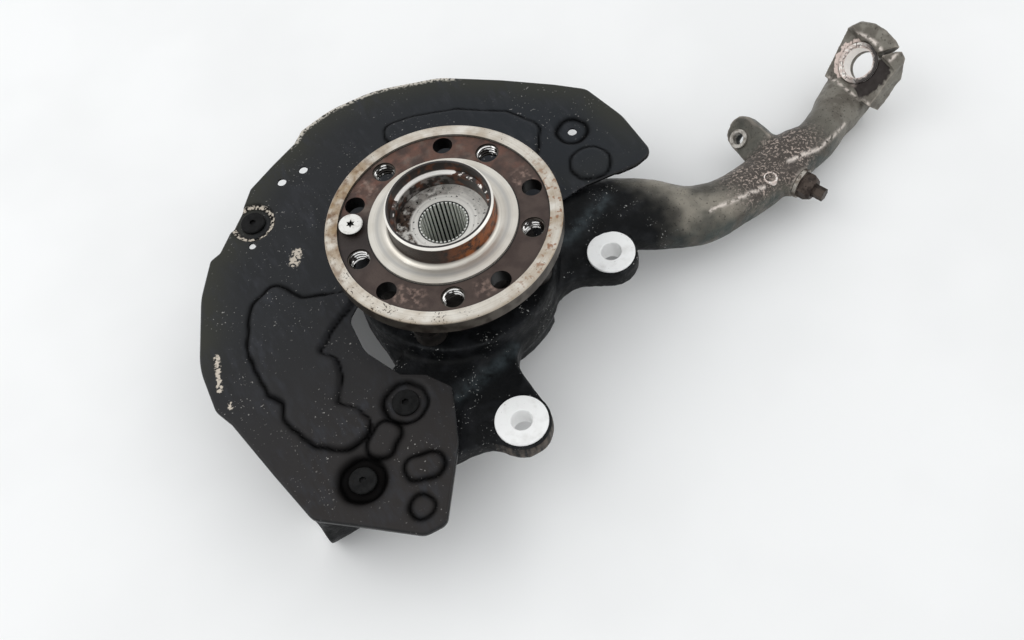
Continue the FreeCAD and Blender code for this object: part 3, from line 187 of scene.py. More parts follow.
class Finish:
    """A material and its nodes, added by name and fed with numbers, colours or other nodes."""

    def __init__(self, name):
        self.material = bpy.data.materials.new(name)
        self.material.use_nodes = True
        self.tree = self.material.node_tree
        self.shader = self.tree.nodes["Principled BSDF"]
        self.spot = self.add("TexCoord", out=3)

    def feed(self, made, feeds):
        """Link or set inputs of a node: a text is a hex colour, and a colour gets its alpha."""
        for name, value in feeds.items():
            if isinstance(value, str):
                value = linear(value)
            if isinstance(value, bpy.types.NodeSocket):
                self.tree.links.new(value, made.inputs[name])
            elif made.inputs[name].type == "RGBA" and len(value) == 3:
                made.inputs[name].default_value = (*value, 1.0)
            else:
                made.inputs[name].default_value = value

    def add(self, kind, feeds=None, out=0, **settings):
        """Add one node with its settings and links, and give the output that is asked for."""
        made = self.tree.nodes.new("ShaderNode" + kind)
        for name, value in settings.items():
            setattr(made, name, value)
        self.feed(made, feeds or {})
        return made.outputs[out]

    def both(self, *masks):
        """Mask of where all the given masks meet."""
        joint = masks[0]
        for mask in masks[1:]:
            joint = self.add("Math", {0: joint, 1: mask}, operation="MULTIPLY")
        return joint

    def rise(self, value, *ends):
        """Mask that goes from nothing to all between two levels of a value, or where several
        such pairs of levels are given, the mask of where all of them meet."""
        return self.both(*(self.add("MapRange", {0: value, 1: start, 2: full})
                           for start, full in zip(ends[::2], ends[1::2])))

    def band(self, value, low, high, soft):
        """Mask of where a value lies between two limits, with soft edges."""
        return self.rise(value, low - soft, low + soft, high + soft, high - soft)

    def specks(self, size, start, full, detail=3.0, shift=0.0):
        """Mask of scattered patches of a size in millimetres, from a noise level to another."""
        moved = self.add("VectorMath", {0: self.spot, 1: (shift, shift, shift)})
        noise = self.add("TexNoise", {"Vector": moved, "Scale": per(size), "Detail": detail})
        return self.rise(noise, start, full)

    def coats(self, base, *covers):
        """Colour with other colours laid over it, each through its own mask."""
        for cover, mask in covers:
            base = self.add("Mix", {0: mask, 6: base, 7: cover}, out=2, data_type="RGBA")
        return base

    def levels(self, base, *covers):
        """Number with other numbers laid over it, each through its own mask."""
        for cover, mask in covers:
            base = self.add("Mix", {0: mask, 2: base, 3: cover}, data_type="FLOAT")
        return base

    def relief(self, *layers):
        """Surface normal from layers of a height pattern and its real height in millimetres."""
        normal = None
        for height, depth in layers:
            feeds = {"Height": height, "Distance": depth * MM, "Strength": 1.0}
            if normal is not None:
                feeds["Normal"] = normal
            normal = self.add("Bump", feeds)
        return normal

    def done(self, **feeds):
        """Feed the shader and give the finished material."""
        self.feed(self.shader, {name.replace("_", " "): value for name, value in feeds.items()})
        return self.material


def polar_parts(finish):
    """Distance from the wheel axis, angle about it, height along it, and how far up a face looks."""
    parts = finish.add("SeparateXYZ", {0: finish.spot}).node.outputs
    flat = finish.add("VectorMath", {0: finish.spot, 1: (1.0, 1.0, 0.0)}, operation="MULTIPLY")
    radius = finish.add("VectorMath", {0: flat}, out=1, operation="LENGTH")
    angle = finish.add("Math", {0: parts[1], 1: parts[0]}, operation="ARCTAN2")
    upward = finish.add("SeparateXYZ", {0: finish.add("TexCoord", out=1)}, out=2)
    return radius, angle, parts[2], upward


def near_angle(finish, angle, degrees, half_width):
    """Mask that fades out to both sides of an angle about the wheel axis."""
    turned = finish.add("Math", {0: angle, 1: math.radians(degrees)}, operation="SUBTRACT")
    cosine = finish.add("Math", {0: turned}, operation="COSINE")
    return finish.add(
        "MapRange", {0: cosine, 1: math.cos(math.radians(half_width)), 2: 1.0},
        interpolation_type="SMOOTHSTEP")


def turned_hub_steel(look):
    """Forged steel, turned on a lathe and used: near white lands with soft rust stains on the
    rim, an even brown rust on the recessed face, and dark grease inside the spigot. Painted
    shade darkens the recess's edges, its hole walls and the spline's roots, and painted
    highlights brighten the spline's teeth and the ragged ring on the step inside the spigot."""
    f = Finish("Turned hub steel with rust")
    radius, angle, height, upward = polar_parts(f)
    rings = f.add(
        "TexNoise", {"W": radius, "Scale": per(1.4), "Detail": 3.0}, noise_dimensions="1D")
    ring_tone = f.rise(rings, 0.38, 0.65)
    flat = f.rise(upward, 0.5, 0.9)
    wall = f.rise(upward, 0.6, 0.3)
    above = f.rise(height, -0.0021, -0.0019)

    rim = f.both(f.band(radius, 0.0654, 0.0748, 0.00015), above)
    recess = f.both(f.band(radius, 0.0463, 0.0655, 0.00015), above)
    # Walls of the holes in the recessed face drawn near black and unmetallic: painted shade
    painted_shade_in_holes = f.both(f.band(radius, 0.0472, 0.0646, 0.0002), wall)
    land = f.both(f.band(radius, 0.0338, 0.0463, 0.0001), above)
    outer_wall = f.both(f.band(radius, 0.0325, 0.0352, 0.0004), f.rise(height, 0.0008, 0.0022))
    lip = f.both(f.rise(radius, 0.0319, 0.0321), f.rise(height, 0.0143, 0.0147))
    top = f.both(f.band(radius, 0.03, 0.032, 0.0001), f.rise(height, 0.0155, 0.0157))
    inside = f.both(
        f.rise(radius, 0.0312, 0.0308), f.rise(height, -0.0034, -0.003),
        f.rise(height, 0.0157, 0.0155))
    step = f.both(inside, f.band(height, 0.006, 0.0084, 0.0004))
    seat = f.both(f.rise(radius, 0.0288, 0.0286), flat, f.band(height, -0.004, -0.003, 0.0002))
    spline = f.rise(radius, 0.016, 0.0158)
    painted_lit_tooth_tips = f.rise(radius, 0.0153, 0.0147)

    bright = f.coats(
        look.bright_steel,
        ("#CBC4B8", f.both(f.specks(20.0, 0.4, 0.66, shift=0.2), 0.8)),
        (look.worn_steel, f.both(ring_tone, 0.22)),
        ("#B3B1AD", f.both(f.band(radius, 0.0392, 0.0418, 0.0012), 0.75)))
    left = near_angle(f, angle, 142.0, 66.0)
    right = near_angle(f, angle, -38.0, 60.0)
    low = near_angle(f, angle, -150.0, 58.0)
    stained = f.levels(
        0.15,
        (1.0, left),
        (0.55, near_angle(f, angle, 62.0, 45.0)),
        (0.7, right),
        (0.45, low))
    rim_colour = f.coats(
        bright,
        (look.tan_rust, f.both(f.specks(12.0, 0.36, 0.62, detail=4.0, shift=0.3), stained)),
        ("#6F5238", f.both(f.specks(5.0, 0.46, 0.66, detail=5.0, shift=0.7), left, 0.85)),
        ("#8A5A38", f.both(f.specks(3.0, 0.54, 0.64, detail=4.0, shift=1.1), right, 0.8)),
        ("#30231B", f.both(f.specks(1.5, 0.58, 0.63, detail=2.0),
                           f.specks(10.0, 0.48, 0.6, shift=0.5), low)),
        ("#4A3B30", f.specks(1.2, 0.72, 0.75, detail=1.0)),
        ("#9C8970", f.both(f.rise(radius, 0.0722, 0.0734), 0.55)))
    scuffs = f.both(
        f.levels(
            0.0,
            (1.0, near_angle(f, angle, -140.0, 14.0)),
            (0.9, near_angle(f, angle, -92.0, 9.0)),
            (0.9, near_angle(f, angle, -2.0, 11.0)),
            (0.8, near_angle(f, angle, 119.0, 9.0))),
        f.specks(3.4, 0.47, 0.7, detail=6.0, shift=0.1), f.band(radius, 0.05, 0.0625, 0.0015),
        0.55)
    # Thin black lines at the inner and outer edges of the recessed face: painted contact shadow
    painted_edge_shadow = f.rise(f.band(radius, 0.0471, 0.0649, 0.0004), 0.9, 0.1)
    rust = f.coats(
        look.dark_rust,
        (look.red_rust, near_angle(f, angle, 75.0, 90.0)),
        ("#6B635A", f.both(f.specks(10.0, 0.5, 0.66, detail=4.0, shift=1.4),
                           near_angle(f, angle, 95.0, 100.0), 0.55)),
        ("#74493A", f.both(f.specks(7.0, 0.5, 0.64, detail=4.0, shift=1.9),
                           near_angle(f, angle, 80.0, 110.0), 0.5)),
        ("#33241E", f.both(f.specks(9.0, 0.42, 0.62, detail=4.0, shift=0.9), 0.8)),
        ("#1E1613", f.both(near_angle(f, angle, 163.0, 26.0), 0.8)),
        ("#241915", f.both(f.specks(1.6, 0.64, 0.74), 0.5)),
        ("#A98E81", scuffs),
        ("#0F0B0A", painted_edge_shadow))
    orange = f.both(near_angle(f, angle, -58.0, 66.0), f.specks(5.0, 0.3, 0.55, shift=0.5))
    wall_colour = f.coats(
        "#261912", (look.orange_rust, orange), ("#120D0A", f.specks(3.5, 0.55, 0.7)))
    # The ragged near white ring on the step inside the spigot, weaker round 88 degrees, is a painted
    # highlight of the step's ledge
    arc = f.add("MapRange", {0: near_angle(f, angle, 88.0, 48.0), 1: 0.02, 2: 0.45, 3: -0.24})
    torn = f.add("Math", {0: f.specks(4.0, 0.3, 0.66, detail=5.0, shift=0.2), 1: arc})
    peeled = f.both(step, f.rise(torn, 0.58, 0.68))
    flakes = f.both(
        f.specks(5.0, 0.5, 0.6, detail=5.0, shift=0.4), near_angle(f, angle, 120.0, 90.0),
        f.rise(height, 0.0085, 0.005), 0.75)
    inside_colour = f.coats(
        "#1D1511",
        ("#5A3018", f.specks(6.0, 0.48, 0.62)),
        ("#8E8A86", flakes),
        ("#F4F0EA", peeled))
    outside_clean = f.rise(radius, 0.02, 0.0218)
    dots = f.both(f.specks(2.1, 0.66, 0.69, detail=1.0, shift=0.6), f.rise(radius, 0.0172, 0.018))
    greasy = f.both(
        f.specks(6.5, 0.36, 0.48, detail=5.0, shift=0.15), outside_clean,
        f.levels(
            0.12, (1.0, near_angle(f, angle, 162.0, 78.0)),
            (0.5, near_angle(f, angle, 80.0, 40.0))))
    seat_colour = f.coats(
        "#EAE7E0",
        ("#BDBAB3", f.both(ring_tone, 0.35)),
        ("#4A372A", greasy),
        ("#1F1611", f.both(greasy, f.specks(3.4, 0.48, 0.58))),
        ("#14100D", dots))
    # Spline: tips of the teeth painted near white as painted highlight, roots painted near black as
    # painted shade of the deep bore
    spline_painted_light_and_shade = f.coats("#0B0C09", ("#F6F8F0", painted_lit_tooth_tips))
    colour = f.coats(
        "#544E47",
        ("#3A332D", f.specks(8.0, 0.45, 0.62)),
        (rim_colour, rim),
        (rust, recess),
        ("#0C0A09", painted_shade_in_holes),
        (bright, land),
        (wall_colour, outer_wall),
        (inside_colour, inside),
        ("#1E1613", top),
        ("#F0ECE4", lip),
        (seat_colour, seat),
        (spline_painted_light_and_shade, spline))
    metal = f.levels(
        0.7,
        (0.6, rim),
        (0.1, recess),
        (0.0, painted_shade_in_holes),
        (0.7, land),
        (0.15, outer_wall),
        (0.2, inside),
        (0.4, peeled),
        (0.0, top),
        (0.4, seat),
        (0.6, lip),
        (0.15, spline))
    rough = f.levels(
        0.42,
        (0.4, rim),
        (0.6, recess),
        (0.33, land),
        (0.5, outer_wall),
        (0.5, inside),
        (0.3, lip),
        (0.42, seat),
        (0.3, spline))
    grain = f.add("TexNoise", {"Vector": f.spot, "Scale": per(1.3), "Detail": 3.0})
    normal = f.relief(
        (f.both(rings, f.levels(0.6, (0.1, recess))), 0.012),
        (f.both(grain, f.levels(0.1, (1.0, recess), (1.0, outer_wall))), 0.2))
    return f.done(Base_Color=colour, Metallic=metal, Roughness=rough, Normal=normal)


def eye_parts(finish):
    """Distance from the upper eye's axis, mask of its shaded side, and height above its face."""
    back = tuple(-part for part in TOP_EYE.translation)
    from_eye = finish.add("VectorMath", {0: finish.spot, 1: back})
    across = finish.add("VectorMath", {0: from_eye, 1: EYE_AXIS}, operation="CROSS_PRODUCT")
    distance_out = finish.add("VectorMath", {0: across}, out=1, operation="LENGTH")
    leaning = finish.add(
        "VectorMath", {0: from_eye, 1: (0.5, -0.87, 0.0)}, out=1, operation="DOT_PRODUCT")
    shaded_side = finish.rise(leaning, -0.006, 0.006)
    height = finish.add("VectorMath", {0: from_eye, 1: EYE_AXIS}, out=1, operation="DOT_PRODUCT")
    return distance_out, shaded_side, height


def cast_aluminium(look):
    """Sand-cast aluminium under years of oil and road dirt: black by the hub, olive grey with a
    beige sheen up the neck, peeled in fine pinkish flecks where the neck widens. The beige sheen
    on top of the neck is a painted highlight; the greenish grey on the neck's sides and the
    dark shaded half of the upper eye's face are painted shade."""
    f = Finish("Cast aluminium under oil and dirt")
    parts = f.add("SeparateXYZ", {0: f.spot}).node.outputs
    upward = f.add("SeparateXYZ", {0: f.add("TexCoord", out=1)}, out=2)
    worn = f.add("Attribute", out=2, attribute_name="worn")
    sheen = f.add("Attribute", out=2, attribute_name="sheen")
    wave = f.add("TexNoise", {"Vector": f.spot, "Scale": per(38.0), "Detail": 3.0})
    along_neck = f.add("Math", {0: wave, 1: 0.09, 2: parts[0]}, operation="MULTIPLY_ADD")
    clean = f.add("MapRange", {0: along_neck, 1: 0.16, 2: 0.2}, interpolation_type="SMOOTHSTEP")
    edges = f.add("NewGeometry", out=7)
    ridge = f.rise(edges, 0.52, 0.58)
    hollow = f.rise(edges, 0.49, 0.44)
    facing_up = f.rise(upward, 0.25, 0.75)
    junction = f.band(parts[0], 0.186, 0.262, 0.014)
    at_eye = f.rise(parts[0], 0.268, 0.292)
    # Beige on the neck's upward faces: painted sheen
    beige = f.both(
        f.specks(24.0, 0.4, 0.58, shift=0.1), f.band(parts[0], 0.128, 0.206, 0.016), facing_up)
    fleck = f.add(
        "TexNoise", {"Vector": f.spot, "Scale": per(1.7), "Detail": 4.0, "Distortion": 0.6})
    off_lug = f.rise(parts[1], -0.012, -0.022)
    flecks = f.both(
        f.rise(fleck, 0.52, 0.61), junction, off_lug, f.specks(13.0, 0.26, 0.52, shift=0.8),
        f.levels(0.2, (1.0, facing_up)))
    eye_distance, shaded_side, eye_height = eye_parts(f)
    ragged = f.add("TexNoise", {"Vector": f.spot, "Scale": per(3.0), "Detail": 4.0})
    eye_edge = f.add("Math", {0: ragged, 1: 0.007, 2: eye_distance}, operation="MULTIPLY_ADD")
    square_on = f.add(
        "VectorMath", {0: f.add("TexCoord", out=1), 1: EYE_AXIS}, out=1, operation="DOT_PRODUCT")
    on_face = f.both(f.band(eye_height, -0.0012, 0.001, 0.0004), f.rise(square_on, 0.7, 0.85))
    # On the upper eye's face the peeled skin is drawn on the lit side only, and the shaded side is
    # darkened as painted shade
    peeled_skin = f.both(
        f.band(eye_edge, 0.0184, 0.0212, 0.0003), on_face, f.levels(1.0, (0.0, shaded_side)))
    dark_skin_and_painted_shade = f.both(
        f.band(eye_edge, 0.016, 0.029, 0.0008), on_face, f.levels(0.15, (1.0, shaded_side)))
    neck = f.coats(
        look.bare_casting,
        ("#4A463F", f.specks(16.0, 0.42, 0.64)),
        # Greenish grey mostly on faces that do not look up: painted shade on the neck's sides
        ("#3A413E", f.both(f.specks(11.0, 0.4, 0.6, shift=0.2), f.levels(0.9, (0.2, facing_up)))),
        (look.painted_beige_sheen, f.both(beige, 0.75)),
        ("#48423D", f.both(junction, off_lug, facing_up)),
        ("#A89A90", flecks),
        ("#77736A", at_eye),
        ("#605B53", f.both(at_eye, f.specks(9.0, 0.44, 0.6, shift=0.5))),
        ("#241D1A", dark_skin_and_painted_shade),
        ("#C9B8AF", peeled_skin),
        ("#2A2622", f.both(f.specks(1.5, 0.62, 0.68, detail=2.0), 0.7)),
        ("#B5ABA0", f.both(ridge, 0.8)),
        ("#D6CCC3", f.both(worn, f.specks(3.4, 0.4, 0.54, detail=4.0, shift=0.35))),
        ("#211E1B", f.both(hollow, 0.8)))
    glints = f.both(f.specks(1.4, 0.66, 0.69, detail=2.0, shift=0.8), f.specks(19.0, 0.52, 0.62))
    black = f.coats(
        look.oily_dirt,
        ("#1C1D1F", f.specks(14.0, 0.48, 0.68)),
        ("#394043", f.both(sheen, f.specks(6.0, 0.3, 0.66, detail=5.0))),
        ("#36383A", f.both(ridge, f.specks(4.0, 0.45, 0.6, shift=0.2))),
        ("#060606", hollow),
        ("#A9A9A6", glints))
    from_ear = f.add("VectorMath", {0: f.spot, 1: tuple(-part for part in LOWER_EAR.translation)})
    level_way = f.add("VectorMath", {0: from_ear, 1: (1.0, 1.0, 0.0)}, operation="MULTIPLY")
    ear = f.add("VectorMath", {0: level_way}, out=1, operation="LENGTH")
    ear_wall = f.both(f.rise(ear, 0.0215, 0.0195), f.rise(upward, 0.4, 0.2))
    stretched = f.add("VectorMath", {0: f.spot, 1: (1.0, 1.0, 0.15)}, operation="MULTIPLY")
    streak = f.add("TexNoise", {"Vector": stretched, "Scale": per(3.0), "Detail": 4.0})
    black = f.coats(black, ("#5A524B", f.both(ear_wall, f.rise(streak, 0.38, 0.62))))
    colour = f.coats(black, (neck, clean))
    metal = f.levels(0.0, (0.35, clean))
    rough = f.add(
        "MapRange", {0: f.specks(5.0, 0.35, 0.65, detail=4.0, shift=0.6), 3: 0.38, 4: 0.58})
    sand = f.add("TexNoise", {"Vector": f.spot, "Scale": per(1.5), "Detail": 4.0})
    lumps = f.add("TexNoise", {"Vector": f.spot, "Scale": per(9.0), "Detail": 3.0})
    normal = f.relief((lumps, 0.7), (sand, 0.2), (fleck, 0.15))
    return f.done(
        Base_Color=colour, Metallic=metal, Roughness=rough,
        Specular_IOR_Level=f.levels(0.1, (0.35, clean)), Normal=normal)


def milled_aluminium(look):
    """Aluminium faced by a cutter and kept clean by the joint: an even, near white face, with
    its bore and side walls painted whiter still as painted light.
    """
    f = Finish("Milled aluminium")
    grey = f.specks(7.0, 0.5, 0.74, detail=4.0)
    upward = f.add("SeparateXYZ", {0: f.add("TexCoord", out=1)}, out=2)
    colour = f.coats(
        look.milled_aluminium,
        ("#E2E1DE", grey),
        ("#9A958D", f.both(f.specks(1.5, 0.7, 0.74), 0.7)),
        # Walls that do not look up drawn whiter still: painted light on bores and sides
        ("#FCFCFB", f.rise(upward, 0.4, 0.2)))
    rough = f.add("MapRange", {0: grey, 3: 0.42, 4: 0.52})
    return f.done(Base_Color=colour, Metallic=0.25, Roughness=rough)


def peeled_aluminium(look):
    """Machined face whose oxide skin has peeled in pinkish white flakes with dark cracks; its
    shaded side is darkened as painted shade and its bore wall painted near white as painted light.
    """
    f = Finish("Peeled oxide on machined aluminium")
    flake = f.add(
        "TexVoronoi", {"Vector": f.spot, "Scale": per(3.2), "Detail": 1.0},
        feature="DISTANCE_TO_EDGE")
    cracks = f.both(f.rise(flake, 0.09, 0.03), f.specks(5.0, 0.5, 0.6))
    distance_out, shaded_side, height = eye_parts(f)
    ragged = f.add("TexNoise", {"Vector": f.spot, "Scale": per(2.6), "Detail": 4.0})
    ring = f.add("Math", {0: ragged, 1: 0.004, 2: distance_out}, operation="MULTIPLY_ADD")
    shaded = f.both(f.band(ring, 0.0144, 0.03, 0.0003), shaded_side)
    seam = f.band(ring, 0.0136, 0.0142, 0.0002)
    # Bore wall drawn near white: painted light in the deep, tilted bore
    painted_lit_bore_wall = f.rise(height, -0.0003, -0.0006, -0.03, -0.029)
    colour = f.coats(
        look.peeled_oxide,
        ("#B8A89F", f.specks(4.0, 0.45, 0.65, detail=5.0)),
        ("#EFE9E2", f.specks(3.0, 0.52, 0.6, detail=4.0, shift=0.4)),
        ("#4A3E38", cracks),
        ("#2B2420", shaded),
        ("#332A25", f.both(seam, 0.85)),
        ("#FFFAF5", painted_lit_bore_wall))
    return f.done(Base_Color=colour, Metallic=0.1, Roughness=0.5, Normal=f.relief((flake, 0.12)))


def painted_sheet(look):
    """Pressed steel sheet in black dip paint: satin and dusty, black dirt and painted shade in the
    steps, the paint rubbed to pale grey along the upper edge, glossy beads of it along the lower
    edges."""
    f = Finish("Black dip paint on pressed sheet")
    crease_dirt_and_shade, rubbed_edge, bead, scuff, black_dish, olive = [
        f.add("Attribute", out=2, attribute_name=name)
        for name in ("crease_dirt_and_shade", "edge", "bead", "scuff", "black_dish", "film")]
    parts = f.add("SeparateXYZ", {0: f.spot}).node.outputs
    brown = f.rise(parts[1], 0.03, -0.1)
    blue = f.rise(parts[0], -0.03, 0.08)
    dust = f.both(f.specks(1.6, 0.68, 0.72, detail=2.0), f.specks(24.0, 0.44, 0.62, shift=0.2))
    film = f.specks(26.0, 0.42, 0.66, detail=5.0)
    stretched = f.add("VectorMath", {0: f.spot, 1: (1.0, 0.3, 1.0)}, operation="MULTIPLY")
    smear = f.add("TexNoise", {"Vector": stretched, "Scale": per(4.0), "Detail": 5.0})
    grit = f.specks(2.0, 0.36, 0.58, detail=4.0, shift=0.4)
    worn_through = f.add("Math", {0: rubbed_edge, 1: grit, 2: -0.28}, operation="MULTIPLY_ADD")
    rubbed = f.both(f.rise(worn_through, 0.0, 0.3), rubbed_edge)
    scuffed = f.rise(
        f.add("Math", {0: scuff, 1: grit, 2: -0.22}, operation="MULTIPLY_ADD"), 0.0, 0.25)
    colour = f.coats(
        look.shield_paint,
        (look.shield_brown, brown),
        (look.shield_blue, blue),
        ("#34342C", f.both(olive, 0.75)),
        ("#070707", bead),
        ("#303135", f.both(film, f.rise(smear, 0.44, 0.7))),
        ("#8E8C88", dust),
        # Rear dish and the sheet round it drawn near black
        ("#040404", f.both(black_dish, 0.9)),
        # Black at the foot of each press: dirt and painted shade
        ("#030303", crease_dirt_and_shade),
        ("#BDB7AC", rubbed),
        ("#C2B8AA", scuffed))
    rough = f.levels(0.5, (0.6, film), (0.36, crease_dirt_and_shade), (0.16, bead))
    specular = f.levels(0.16, (0.0, black_dish), (0.0, crease_dirt_and_shade), (0.3, bead))
    peel = f.add("TexNoise", {"Vector": f.spot, "Scale": per(2.4), "Detail": 3.0})
    return f.done(
        Base_Color=colour, Metallic=0.0, Roughness=rough, Specular_IOR_Level=specular,
        Normal=f.relief((peel, 0.1)))


def plain_steel(name, body, grime, size, metallic, roughness, shine=0.5):
    """Steel of a small part: its own colour with grime in patches and small pits."""
    f = Finish(name)
    colour = f.coats(
        body, (grime, f.specks(size, 0.44, 0.6, detail=5.0)),
        ("#120F0D", f.specks(1.4, 0.64, 0.7, shift=0.5)))
    rough = f.add(
        "MapRange",
        {0: f.specks(size, 0.3, 0.7, shift=0.3), 3: roughness - 0.06, 4: roughness + 0.14})
    grain = f.add("TexNoise", {"Vector": f.spot, "Scale": per(1.2), "Detail": 3.0})
    return f.done(
        Base_Color=colour, Metallic=metallic, Roughness=rough, Specular_IOR_Level=shine,
        Normal=f.relief((grain, 0.12)))


def thread_steel():
    """Steel thread crests: black with oil, with random bright patches painted on as glints."""
    f = Finish("Oily cut thread steel")
    # Random bright patches on the crests: painted glints
    rubbed = f.specks(6.0, 0.5, 0.56, detail=2.0, shift=0.3)
    colour = f.coats("#2B2724", ("#FAF8F4", rubbed))
    return f.done(Base_Color=colour, Metallic=0.7, Roughness=0.2)


def plated_screw_steel():
    """Zinc plated steel of the disc screw: an even pale face, the driver recess drawn near black."""
    f = Finish("Zinc plated screw steel")
    height = f.add("SeparateXYZ", {0: f.spot}, out=2)
    sunk = f.rise(height, 0.0021, 0.0018)
    colour = f.coats(
        "#E6E4DF",
        ("#C4C0B9", f.specks(4.0, 0.46, 0.66, detail=4.0)),
        ("#4A3F37", f.specks(1.4, 0.7, 0.74, shift=0.3)),
        ("#0B0908", sunk))
    return f.done(Base_Color=colour, Metallic=f.levels(0.4, (0.0, sunk)), Roughness=0.38)


def moulded_rubber(look):
    """Nitrile rubber moulded on a steel ring: matt black with a greasy bloom."""
    f = Finish("Moulded nitrile rubber")
    colour = f.coats(look.seal_rubber, ("#3A3733", f.specks(6.0, 0.5, 0.68)))
    rough = f.add("MapRange", {0: f.specks(4.0, 0.4, 0.6), 3: 0.5, 4: 0.75})
    grain = f.add("TexNoise", {"Vector": f.spot, "Scale": per(1.0), "Detail": 2.0})
    return f.done(Base_Color=colour, Metallic=0.0, Roughness=rough, Normal=f.relief((grain, 0.08)))


def moulded_polyamide(look):
    """Glass-filled polyamide of the ball cages: moulded, cream, with a film of brown grease."""
    f = Finish("Moulded glass-filled polyamide")
    colour = f.coats(look.cage_polyamide, ("#8F7448", f.specks(5.0, 0.46, 0.66)))
    grain = f.add("TexNoise", {"Vector": f.spot, "Scale": per(1.2), "Detail": 3.0})
    return f.done(Base_Color=colour, Metallic=0.0, Roughness=0.42, Normal=f.relief((grain, 0.06)))


def pale_floor(look):
    """Matt pale studio floor, a little uneven in tone so that soft shadows read on it."""
    f = Finish("Matt studio floor")
    tone = f.coats(look.floor, ("#EDEDEC", f.specks(160.0, 0.4, 0.6)))
    return f.done(Base_Color=tone, Metallic=0.0, Roughness=0.9, Specular_IOR_Level=0.0)


def mesh_piece(name, mesh, material, body, smooth=35.0):
    """Link a mesh as a piece that rides on a body, smooth except at corners."""
    piece = bpy.data.objects.new(name, mesh)
    bpy.context.scene.collection.objects.link(piece)
    mesh.polygons.foreach_set("use_smooth", [True] * len(mesh.polygons))
    mesh.set_sharp_from_angle(angle=math.radians(smooth))
    mesh.materials.clear()
    mesh.materials.append(material)
    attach(piece, body)
    return piece


def dress(node, material):
    """Give a node of the frame its material."""
    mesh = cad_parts[node].data
    mesh.materials.clear()
    mesh.materials.append(material)


def outline(corners, step):
    """Points along a closed outline whose corners are rounded to their own radius."""
    bends = []
    for here, (x, y, radius) in enumerate(corners):
        corner = Vector((x, y))
        before = (Vector(corners[here - 1][:2]) - corner).normalized()
        after = (Vector(corners[(here + 1) % len(corners)][:2]) - corner).normalized()
        half = before.angle(after) / 2
        centre = corner + (before + after).normalized() * (radius / math.sin(half))
        reach = radius / math.tan(half)
        first = corner + before * reach - centre
        last = corner + after * reach - centre
        sweep = math.atan2(first.x * last.y - first.y * last.x, first.dot(last))
        count = max(2, math.ceil(abs(sweep) * radius / step))
        for part in range(count + 1):
            turn = sweep * part / count
            bends.append((centre.x + first.x * math.cos(turn) - first.y * math.sin(turn),
                          centre.y + first.x * math.sin(turn) + first.y * math.cos(turn)))
    points = []
    for here, start in enumerate(bends):
        end = bends[(here + 1) % len(bends)]
        run = math.hypot(end[0] - start[0], end[1] - start[1])
        if run < 1e-3:
            continue
        count = max(1, math.ceil(run / step))
        points += [(start[0] + (end[0] - start[0]) * part / count,
                    start[1] + (end[1] - start[1]) * part / count) for part in range(count)]
    return np.array(points)


def ring_points(x, y, radius, step):
    """Points round a circle, about one step apart."""
    count = max(16, math.ceil(math.tau * radius / step))
    angles = np.arange(count) * math.tau / count
    return np.stack([x + radius * np.cos(angles), y + radius * np.sin(angles)], 1)


def inset(points, distance):
    """A closed outline moved inward by a small distance."""
    way = np.roll(points, -1, 0) - np.roll(points, 1, 0)
    way /= np.linalg.norm(way, axis=1)[:, None]
    return points + np.stack([-way[:, 1], way[:, 0]], 1) * distance


def depth_inside(points, edge):
    """How far each point lies inside a closed outline, less than nothing outside it."""
    run = np.roll(edge, -1, 0) - edge
    nearest = np.full(len(points), 1e9)
    crossings = np.zeros(len(points), int)
    for (sx, sy), (rx, ry) in zip(edge, run):
        px = points[:, 0] - sx
        py = points[:, 1] - sy
        share = np.clip((px * rx + py * ry) / (rx * rx + ry * ry), 0.0, 1.0)
        nearest = np.minimum(nearest, np.hypot(px - share * rx, py - share * ry))
        spans = (py < 0) != (py < ry)
        if ry:
            crossings += spans & (px < rx * py / ry)
    return np.where(crossings % 2 == 1, nearest, -nearest)


def eased(value):
    """Share from 0 to 1 that starts and ends gently."""
    value = np.clip(value, 0.0, 1.0)
    return value * value * (3 - 2 * value)


def line_distance(points, ends):
    """How far each point lies from a line through the given points."""
    nearest = np.full(len(points), 1e9)
    for first, last in zip(ends, ends[1:]):
        start = np.array(first)
        run = np.array(last) - start
        share = np.clip((points - start) @ run / (run @ run), 0.0, 1.0)
        nearest = np.minimum(nearest, np.linalg.norm(points - start - share[:, None] * run, axis=1))
    return nearest


def near_lines(points, lines, width):
    """One on any of the lines, and fading to nothing over a width to both sides."""
    nearest = np.min([line_distance(points, line) for line in lines], axis=0)
    return np.exp(-(nearest / width) ** 2)


def to_mesh(name, solid):
    """New mesh from the points and faces under work."""
    mesh = bpy.data.meshes.new(name)
    solid.to_mesh(mesh)
    solid.free()
    return mesh


def give_values(mesh, values_by_name):
    """Store a named value at each point of a mesh, for its material."""
    for name, values in values_by_name.items():
        mesh.attributes.new(name, "FLOAT", "POINT")
        mesh.attributes[name].data.foreach_set("value", values.astype(np.float32))


